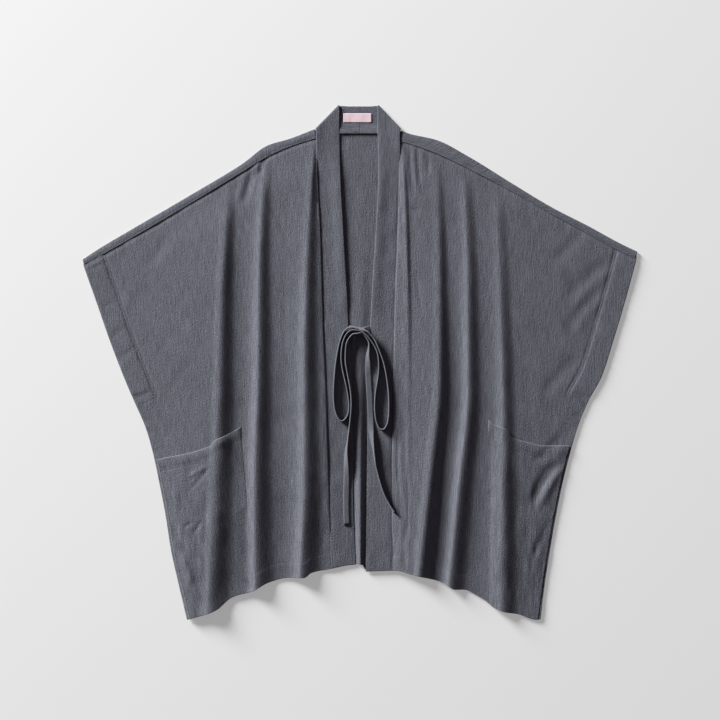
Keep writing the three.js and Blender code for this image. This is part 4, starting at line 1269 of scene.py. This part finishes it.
def make_pocket(name, panel, side, pocket, rows, seed, material, thread):
    top_t, outer, inner = pocket_edges(panel, side, pocket)
    guides = pocket_guides(panel, side, pocket["before"], outer, inner)
    x, t = grid_places(panel, guides, places(POCKET_NEAR, HEM_NEAR, POCKET_ROWS), top_t)
    base = panel.surface(x, t)
    down, run = run_along(base, 0), run_along(base, 1)
    rest = run[:, -1:] - run
    from_edge = np.minimum(run, rest)
    reach = pocket_form(x, base[..., 1], down, from_edge, rows, seed)
    grid = lifted(base, sewn_down(reach, pocket["edge_lift"], down, rest if side < 0 else run))
    half = CLOTH_HALF + HEM_EXTRA * turned_hem(POCKET_HEM, down)
    worn = np.maximum(bell(down, POCKET_WEAR[0]), bell(from_edge, POCKET_WEAR[1]))
    made = shell(name, grid, half, material, edge=worn)
    finish_piece(made, [name.replace("_cloth", "")])
    on_top, normals = lifted(grid, half + STITCH_LIFT), grid_normals(grid)
    row = int(np.argmin(np.abs(down[:, DOWN_COLUMN] - POCKET_HEM)))
    lines = [(on_top[row], normals[row])]
    lines += [(on_top[:, column], normals[:, column]) for column in POCKET_STITCH_COLUMNS]
    make_stitches(name.replace("cloth", "stitches"), lines, thread)
    return made


# ------------------------------------------------------------------ back

BACK_ROWS = 130
BACK_TOP_NEAR = (0, 0.002, 0.006)
BACK_SIDE_NEAR = (0, 0.001, 0.003, 0.008)
ROLL_STEPS = 8
STRIP_STEPS = 7
BACK_SIDE_COLUMNS = 22
STRIP_LAST = 0.94  # the strip's last row but one, as a share of its width
SEAM_WEAR_ROWS = 1.5
STRIP_EXTRA = 0.0003  # what the turned edge at the shoulder seam adds to half the thickness
STRIP_PUFF = 0.0006  # height of the strip from the shoulder's fold to its seam
NECK_OVERLAP = 0.006  # how far the back runs up under the neckband's lower edge


def back_relief(seed):
    def relief(panel, x, y, t):
        length = panel.length_at(x, t)
        from_hem = (1 - t) * length
        edge = np.minimum(x - panel.left(t), panel.right(t) - x)
        inside = past(from_hem, CALM) * past(edge, CALM_BACK) * past(t * length, CALM)
        return (np.abs(ripples(x, y, seed)) + creases(x, y, BACK_CREASES)) * inside

    return relief


def nested(folds):
    """The back's folds, lower and narrower than the high folds of the front on top of them."""
    return [dict(crest=fold["crest"], height=[h * NESTED_HEIGHT for h in fold["height"]],
                 rise=[width * NESTED_WIDTH for width in fold["rise"]],
                 fall=[width * NESTED_WIDTH for width in fold["fall"]], lean=0)
            for fold in folds if max(fold["height"]) > LEAST_NESTED]


def cleared_bands():
    """x at y of the band's two sewn edges, moved out to clear the corners of the neck."""
    right, left = curve_of(RIGHT_BAND, 0, 1), curve_of(LEFT_BAND, 0, 1)

    def clear(y):
        return CORNER_CLEAR * ease((y - SEAM_TURN) / NECK_SETTLE + 1)

    return lambda y: right(y) - clear(y), lambda y: left(y) + clear(y)


def under_roll(shoulder):
    """The height at which the back's cloth starts to roll over a shoulder."""
    fold = curve_of(shoulder, 0, 1)
    return lambda x: fold(x) - SHOULDER_ROLL - PANEL_WALL / 2


def back_hem(x):
    """The back's bottom edge, a little shorter than the fronts'."""
    return hem_at(x) + BACK_INSET


def back_level(_):
    """The back lies on its underside all the way down."""
    return CLOTH_HALF


def centre_ridge():
    """The fold down the middle of the back, between the band's free edges."""
    lowest = float(hem_at(0))
    free = [curve_of(band, 0, 2) for band in (RIGHT_BAND, LEFT_BAND)]
    return Folds([CENTRE_FOLD], *(lambda t, edge=edge: edge(mix(NECK_LOWER, lowest, t))
                                  for edge in free))


def back_stretches(seed):
    """The back's stretches under the right front, in the neck opening and under the left front,
    and the ridge down the opening."""
    relief, ridge = back_relief(seed), centre_ridge()
    right_band, left_band = cleared_bands()
    right_side, left_side = curve_of(SIDES, 0, 1), curve_of(SIDES, 0, 2)

    def neckline(x):
        return NECK_LOWER + NECK_OVERLAP + 0 * np.asarray(x, float)

    def ridged(panel, x, y, t):
        return relief(panel, x, y, t) + ridge.lift(x, t)[0]

    right = Panel((lambda y: right_side(y) + BACK_INSET, right_band), under_roll(RIGHT_SHOULDER),
                  back_hem, nested(RIGHT_FOLDS), back_level, relief)
    opening = Panel((right_band, left_band), neckline, back_hem, [], back_level, ridged)
    left = Panel((left_band, lambda y: left_side(y) - BACK_INSET), under_roll(LEFT_SHOULDER),
                 back_hem, nested(LEFT_FOLDS), back_level, relief)
    return right, opening, left, ridge


def back_parts(seed):
    """The grids of the three stretches."""
    right, opening, left, ridge = back_stretches(seed)
    gap, flank = even(6), even(4)
    first = places(BACK_SIDE_NEAR, NONE_NEAR, BACK_SIDE_COLUMNS)
    last = places(NONE_NEAR, BACK_SIDE_NEAR, BACK_SIDE_COLUMNS)
    across = [(opening.left, even(7)), *fold_guides(ridge, 0, even(6), even(6), even(7)),
              (opening.right, None)]
    rows = places(BACK_TOP_NEAR, HEM_NEAR, BACK_ROWS)
    return [panel.surface(*grid_places(panel, guides, rows)) for panel, guides in (
        (right, panel_guides(right, first, flank, flank, gap, gap)),
        (opening, across),
        (left, panel_guides(left, gap, flank, flank, gap, last)),
    )]


def rolled_rows(shoulder, band, line, side):
    """Round the roll at the shoulder, and forward to the seam on the front."""
    seam, band_seam = curve_of(shoulder, 0, 2), curve_of(band, 0, 1)
    tip_x, neck_x = (line[0, 0], line[-1, 0]) if side < 0 else (line[-1, 0], line[0, 0])
    radius = (SHOULDER_LEVEL - line[:, 2]) / 2
    rows = []
    for n in range(1, ROLL_STEPS + 1):
        turn = math.pi * n / ROLL_STEPS
        rows.append(np.stack([line[:, 0], line[:, 1] + radius * math.sin(turn),
                              line[:, 2] + radius * (1 - math.cos(turn))], axis=1))
    tipness = (line[:, 0] - neck_x) / (tip_x - neck_x)
    x = line[:, 0] - side * TIP_SLOPE * tipness * (line[:, 1] - seam(line[:, 0]))
    neck = int(np.argmin(np.abs(line[:, 0] - neck_x)))
    x[neck] = band_seam(seam(neck_x)) + side * SEAM_GAP
    forward = np.stack([x, seam(x), np.full_like(x, SHOULDER_LEVEL)], axis=1)
    last = rows[-1]
    for share in (*np.linspace(0, 1, STRIP_STEPS + 1)[1:-1], STRIP_LAST, 1.0):
        row = mix(last, forward, share)
        row[:, 2] += STRIP_PUFF * math.sin(math.pi * share)
        row[:, 2] += waves(row[:, 0], row[:, 1], SHOULDER_WAVES, SEED["shoulder"]) * share
        rows.append(row)
    return rows


def make_back(material):
    parts = back_parts(SEED["back"])
    neck_right = parts[0].shape[1] - 1
    neck_left = neck_right + parts[1].shape[1] - 1
    # neighbours share their edge, which settles over the rows below the neck
    grid = np.concatenate([parts[0], parts[1][:, 1:], parts[2][:, 1:]], axis=1)
    grid[0, neck_left] = parts[2][0, 0]
    right_rolled = rolled_rows(RIGHT_SHOULDER, RIGHT_BAND, grid[0, :neck_right + 1], -1)
    left_rolled = rolled_rows(LEFT_SHOULDER, LEFT_BAND, grid[0, neck_left:], 1)
    filler = grid[0, neck_right + 1:neck_left]
    upper = [np.concatenate([a, filler, b]) for a, b in zip(right_rolled, left_rolled)][::-1]
    grid = np.concatenate([np.array(upper), grid])
    rolled = len(upper)
    keep = np.ones((grid.shape[0] - 1, grid.shape[1] - 1), bool)
    keep[:rolled, neck_right:neck_left] = False
    row = np.arange(grid.shape[0])
    worn = np.where(row < rolled, bell(row, SEAM_WEAR_ROWS), 0)
    worn = np.repeat(worn[:, None], grid.shape[1], 1)
    half = np.full(grid.shape[:2], CLOTH_HALF)
    half[:2] += STRIP_EXTRA
    made = shell("back_cloth", grid, half, material, keep, width_from=neck_right, edge=worn)
    return finish_piece(made, ["back_panel"])


# ------------------------------------------------------------------ neckband and label

BAND_SHARES = (0, 0.012, 0.035, 0.06, 0.10, 0.16, 0.24, 0.32, 0.40, 0.50, 0.60, 0.68, 0.76, 0.84,
               0.90, 0.94, 0.97, 0.988, 1)
BAND_RUN = 300
NECK_RUN = 44
BAND_ACROSS = 0.042  # the band's width, as its edges and ditch are measured
BAND_CROWN = 0.0007  # how far its middle stands above its edges
BAND_DITCH = 0.0003
BAND_OPEN = {-1: 0.0024, 1: 0.0020}  # how far its free edge stands up between neck and bow
BAND_LIFT = 0.0012  # and below the bow
OPEN_TOP = 0.385  # heights between which it does, and over which it grows at either end
OPEN_TOP_FADE = 0.08
OPEN_END = 0.075
OPEN_END_FADE = 0.05
LIFT_TOP = -0.06
LIFT_FADE = 0.08
BAND_THINNER = 0.25  # how much thinner the band is at its sewn edge
THIN_SHARE = 0.02
BAND_WEAR = (0.0016, 0.0018)  # widths of the worn strips at its sewn and its free edge
LAST_SHARE = 0.9985  # of the band's length, at its last row but one
NECK_SLOPE = 0.0018  # how far the band's lower edge stands up behind the neck
NECK_DITCH = 0.0004  # how deep its own seam is drawn in there, and how wide
NECK_DITCH_WIDTH = 0.0015
CENTRE_GAP = 0.0003  # from the centre-back join to the end of each half


def band_form(y, w, side, seed):
    """Height that the band's crown, its edges and its waves add down the fronts."""
    free = ease((w - 0.45) / 0.55)
    x = w * 0.04 + 0.5
    uneven = waves(x, y, BAND_WAVES, seed) + waves(x, y, BAND_RIPPLES, seed + 1)
    form = BAND_CROWN * (1 - (2 * w - 1) ** 4) + uneven * past(w, 0.2)
    opened = past(OPEN_TOP - y, OPEN_TOP_FADE) * past(y - OPEN_END, OPEN_END_FADE)
    varied = 0.5 + waves(y, y, BAND_UNEVEN, seed + 2)
    form += BAND_OPEN[side] * free * opened
    form += BAND_LIFT * free * past(LIFT_TOP - y, LIFT_FADE) * varied
    form -= BAND_DITCH * bell((w - 0.055) * BAND_ACROSS, 0.0012)
    return form + band_tilt(y) * (1 - w)


def neck_rows(turn_x, turn_y, neck_z, w, side):
    """Rows of the band behind the neck, from the centre-back join to the slanting turn."""
    across = mix(NECK_LOWER, NECK_UPPER, w)
    rows = []
    for v in np.linspace(1, 0, NECK_RUN + 1):
        x = mix(turn_x, -side * CENTRE_GAP, v)
        y = mix(turn_y, across, ease(2 * v))
        form = waves(x, y, NECK_WAVES, SEED["neck"])
        form = form - NECK_DITCH * bell(across - NECK_SEAM, NECK_DITCH_WIDTH)
        rows.append(np.stack([x, y, neck_z + form * ease(3 * v)], axis=1))
    return rows


def turn_rows(turn_x, turn_y, neck_z, side):
    """Rows round the slanting turn at the neck's side."""
    out = unit(np.array([side, 1.0, 0]))
    rows = []
    for n in range(1, ROLL_STEPS + 1):
        turn = math.pi * n / ROLL_STEPS
        base = np.stack([turn_x, turn_y, neck_z + NECK_ROLL * (1 - math.cos(turn))], axis=1)
        rows.append(base + out * NECK_ROLL * math.sin(turn))
    return rows


def make_band(name, rows, side, seed, material, thread):
    """Half of the neckband: behind the neck, over the slanting turn, and down the front."""
    seam, free = curve_of(rows, 0, 1), curve_of(rows, 0, 2)
    w = np.array(BAND_SHARES)

    def x_at(y):
        level = np.minimum(y, rows[0][0])
        return mix(seam(level), free(level), w)

    turn_y = mix(SEAM_TURN, FREE_TURN, w)
    neck_z = BAND_WALL / 2 + NECK_SLOPE * (1 - ease(w / 0.5))
    grid = neck_rows(x_at(turn_y), turn_y, neck_z, w, side)
    grid += turn_rows(x_at(turn_y), turn_y, neck_z, side)
    hem = hem_at(mix(rows[-1][1], rows[-1][2], w))
    for share in (*np.linspace(0, 1, BAND_RUN + 1)[1:-1], LAST_SHARE, 1):
        y = mix(turn_y, hem, share)
        settled = past(turn_y - y, NECK_SETTLE)
        z = mix(neck_z + 2 * NECK_ROLL, BAND_LEVEL, settled)
        grid.append(np.stack([x_at(y), y, z + band_form(y, w, side, seed) * settled], axis=1))
    half = BAND_HALF * (1 - BAND_THINNER * bell(w, THIN_SHARE))
    worn = np.maximum(bell(w * BAND_ACROSS, BAND_WEAR[0]),
                      bell((1 - w) * BAND_ACROSS, BAND_WEAR[1]))
    grid, half, worn = np.array(grid), np.tile(half, (len(grid), 1)), np.tile(worn, (len(grid), 1))
    if side > 0:
        grid, half, worn = grid[:, ::-1], half[:, ::-1], worn[:, ::-1]
    made = shell(name, grid, half, material, edge=worn, width_from=0 if side < 0 else -1)
    finish_piece(made, [name.replace("_cloth", "")])
    on_top, normals = lifted(grid, half + STITCH_LIFT), grid_normals(grid)
    column = 3 if side < 0 else -4
    first = NECK_RUN + ROLL_STEPS + 4
    lines = [(on_top[first:, column], normals[first:, column])]
    make_stitches(name.replace("cloth", "stitches"), lines, thread)
    return made


def make_label(material, thread):
    rows, columns = 14, 40
    x = np.linspace(-0.5, 0.5, columns) * LABEL["width"] + LABEL["x"]
    y = np.linspace(0.5, -0.5, rows) * LABEL["depth"] + LABEL["y"]
    x, y = np.meshgrid(x, y)
    z = LABEL["level"] + waves(x, y, LABEL_WAVES, SEED["label"])
    grid = np.stack([x, y, z], axis=-1)
    made = shell("label_cloth", grid, LABEL["half"], material)
    finish_piece(made, ["neck_label"])
    up = np.tile((0, 0, 1.0), (rows, 1))
    lines = [(grid[:, column] + up * LABEL["stitches"], up) for column in (1, -2)]
    make_stitches("label_stitches", lines, thread)
    return made


# ------------------------------------------------------------------ the ties


def strap_route(*stretches):
    """Points and turns of a whole tie, from the rows of its stretches."""
    rows = [row for stretch in stretches for row in stretch]
    turns = np.array([row[3] for row in rows], float)
    angle = np.radians(turns)
    reach = (TIE_WIDTH * np.sin(angle) + TIE_WALL * np.cos(angle)) / 2
    points = np.array([(x, y, TIE_BED + lift) for x, y, lift, _ in rows])
    points[:, 2] += reach
    return points, turns


def smooth_line(points, values, steps):
    """A centripetal Catmull-Rom line through points, and values mixed along it."""
    points = np.asarray(points, float)
    ends = np.concatenate([[2 * points[0] - points[1]], points, [2 * points[-1] - points[-2]]])
    line, mixed = [], []
    for n in range(len(points) - 1):
        p = ends[n:n + 4]
        gaps = np.sqrt(np.maximum(np.linalg.norm(np.diff(p, axis=0), axis=1), TINY))
        t = np.concatenate([[0], np.cumsum(gaps)])
        for s in range(steps):
            at = mix(t[1], t[2], s / steps)
            a = [mix(p[k], p[k + 1], (at - t[k]) / (t[k + 1] - t[k])) for k in range(3)]
            b = [mix(a[k], a[k + 1], (at - t[k]) / (t[k + 2] - t[k])) for k in range(2)]
            line.append(mix(b[0], b[1], (at - t[1]) / (t[2] - t[1])))
            mixed.append(mix(values[n], values[n + 1], s / steps))
    line.append(points[-1])
    mixed.append(values[-1])
    return np.array(line), np.array(mixed)


def strap_section():
    """Half-round edges and flat faces, as distances across and through the strap."""
    radius = TIE_WALL / 2
    flat = TIE_WIDTH / 2 - radius
    edge = [(flat + radius * math.cos(a), radius * math.sin(a))
            for a in np.linspace(-math.pi / 2, math.pi / 2, EDGE_POINTS)]
    face = [(flat * share, radius) for share in FACE_PLACES]
    half = edge + face
    return np.array(half + [(-across, -through) for across, through in half])


def strap_mesh(name, rings, line, material):
    """A closed strap from the rings of points round its line."""
    count, sides = rings.shape[:2]
    number = np.arange(count * sides).reshape(count, sides)
    faces = []
    for s in range(sides):
        t = (s + 1) % sides
        faces += np.stack([number[:-1, s], number[:-1, t], number[1:, t], number[1:, s]],
                          axis=1).tolist()
    faces += [number[0, ::-1].tolist(), number[-1].tolist()]
    made = make_object(name, rings.reshape(-1, 3), faces, material)
    across = strap_section()[:, 0]
    places = np.zeros((count, sides, 3))
    places[..., 0] = across
    places[..., 1] = run_along(line[:, None], 0)
    places[..., 2] = bell(TIE_WIDTH / 2 - np.abs(across), TIE_WEAR)
    lay_on(made, places.reshape(-1, 3))
    return made


def strap_rings(line, wide, thin):
    """Rings of points round a line, from the directions across and through the strap."""
    section = strap_section()
    return line[:, None] + wide[:, None] * section[:, :1] + thin[:, None] * section[:, 1:]


def turned_rings(line, turns):
    """Rings round a line, each turned about it by its angle in degrees."""
    along = unit(np.gradient(line, axis=0))
    level = unit(np.cross(np.array([0, 0, 1.0]), along))
    up = np.cross(along, level)
    angle = np.radians(turns)[:, None]
    wide = level * np.cos(angle) + up * np.sin(angle)
    return strap_rings(line, wide, np.cross(along, wide))


def make_knot(material):
    """The strap's short wrap round the crossing."""
    turns = np.linspace(*KNOT_TURNS, KNOT_POINTS) * 2 * math.pi
    share = np.linspace(-1, 1, len(turns))
    ry, rz = KNOT["ry"] - TIE_WALL / 2, KNOT["rz"] - TIE_WALL / 2
    swell = 1 + KNOT_SWELL * share
    line = np.stack([KNOT["x"] + KNOT_SLANT * share,
                     KNOT["y"] + ry * swell * np.cos(turns),
                     KNOT["z"] + rz * swell * np.sin(turns)], axis=1)
    out = np.stack([np.zeros_like(turns), np.cos(turns) / ry, np.sin(turns) / rz], axis=1)
    wide = np.tile((1.0, 0, 0), (len(turns), 1))
    made = strap_mesh("knot_wrap", strap_rings(line, wide, unit(out)), line, material)
    return finish_piece(made, ["tie_knot"])


def make_ties(material):
    for side, stretches in (
        ("right", (RIGHT_ROOT, KNOT_INSIDE, RIGHT_LOOP, KNOT_THROUGH, RIGHT_TAIL)),
        ("left", (LEFT_ROOT, KNOT_INSIDE, LEFT_LOOP, KNOT_THROUGH, LEFT_TAIL)),
    ):
        points, turns = strap_route(*stretches)
        line, turned = smooth_line(points, turns, TIE_STEPS)
        made = strap_mesh(f"tie_{side}", turned_rings(line, turned), line, material)
        nodes = [f"tie_{side}_{part}" for part in ("root", "loop", "tail")]
        finish_piece(made, nodes)


# ------------------------------------------------------------------ room, light and camera

VIEW_WIDTH = 1.296
VIEW_CENTRE = (0.0, 0.0036)
LENS = 85.0
SENSOR = 36.0
FLOOR_REACH = 6.0
FLOOR_DROP = 0.0004
FLOOR_LOOK = {"Base Color": (0.53, 0.53, 0.53, 1), "Emission Color": (1, 1, 1, 1),
              "Emission Strength": 0.30, "Roughness": 1.0, "Specular IOR Level": 0.0}
ROOM_LIGHT = {"Color": (1.10, 0.93, 1.06, 1), "Strength": 0.095}
KEY_PLACE = (-6.83, 6.16, 2.63)
KEY_SIZE = 3.6
KEY_POWER = 2720


def link(name, data):
    made = bpy.data.objects.new(name, data)
    bpy.context.scene.collection.objects.link(made)
    return made


def make_floor():
    mesh = bpy.data.meshes.new("floor")
    corners = ((-1, -1), (1, -1), (1, 1), (-1, 1))
    mesh.from_pydata([(x * FLOOR_REACH, y * FLOOR_REACH, 0) for x, y in corners], [],
                     [(0, 1, 2, 3)])
    floor = link("floor", mesh)
    floor.location.z = -FLOOR_DROP
    material, _, shader = new_material("pale_floor")
    set_values(shader, FLOOR_LOOK)
    mesh.materials.append(material)


def make_key_light():
    """A large soft light, low beyond the right shoulder, whose slant draws the folds."""
    light = bpy.data.lights.new("key", "AREA")
    light.shape = "DISK"
    light.size = KEY_SIZE
    light.energy = KEY_POWER
    made = link("key", light)
    made.location = KEY_PLACE
    made.rotation_euler = (-Vector(KEY_PLACE)).to_track_quat("-Z", "Y").to_euler()


def make_room_light():
    world = bpy.data.worlds.new("soft_room")
    world.use_nodes = True
    set_values(world.node_tree.nodes["Background"], ROOM_LIGHT)
    bpy.context.scene.world = world


def make_camera():
    camera = bpy.data.cameras.new("camera")
    camera.lens = LENS
    camera.sensor_width = SENSOR
    made = link("camera", camera)
    made.location = (*VIEW_CENTRE, VIEW_WIDTH * LENS / SENSOR)
    bpy.context.scene.camera = made


# ------------------------------------------------------------------ the scene

make_camera()
make_floor()
make_room_light()
make_key_light()
bpy.context.scene.view_settings.view_transform = "Standard"

weave = slub_weave_group()
cloth = cloth_material("slate_cloth", weave, **SLATE)
tie_cloth = cloth_material("tie_cloth", weave, **TIE_SLATE)
tape = cloth_material("label_tape", weave, **TAPE)
thread = thread_material("thread", SLATE_THREAD)
tape_thread = thread_material("tape_thread", TAPE_THREAD)

make_ties(tie_cloth)
make_knot(tie_cloth)
right = make_front_panel(-1, RIGHT_SHOULDER, RIGHT_BAND, RIGHT_FOLDS, RIGHT_CREASES,
                         SEED["front_right"])
left = make_front_panel(1, LEFT_SHOULDER, LEFT_BAND, LEFT_FOLDS, LEFT_CREASES,
                        SEED["front_left"])
sheets = {
    "front_right": make_front("front_right_cloth", right, -1, cloth),
    "front_left": make_front("front_left_cloth", left, 1, cloth),
    "pocket_right": make_pocket("pocket_right_cloth", right, -1, RIGHT_POCKET,
                                RIGHT_POCKET_CREASES, SEED["pocket_right"], cloth, thread),
    "pocket_left": make_pocket("pocket_left_cloth", left, 1, LEFT_POCKET,
                               LEFT_POCKET_CREASES, SEED["pocket_left"], cloth, thread),
    "back": make_back(cloth),
    "neckband_right": make_band("neckband_right_cloth", RIGHT_BAND, -1,
                                SEED["neckband_right"], cloth, thread),
    "neckband_left": make_band("neckband_left_cloth", LEFT_BAND, 1,
                               SEED["neckband_left"], cloth, thread),
}
make_label(tape, tape_thread)
front_stitches("front_right_stitches", right, -1, thread)
front_stitches("front_left_stitches", left, 1, thread)
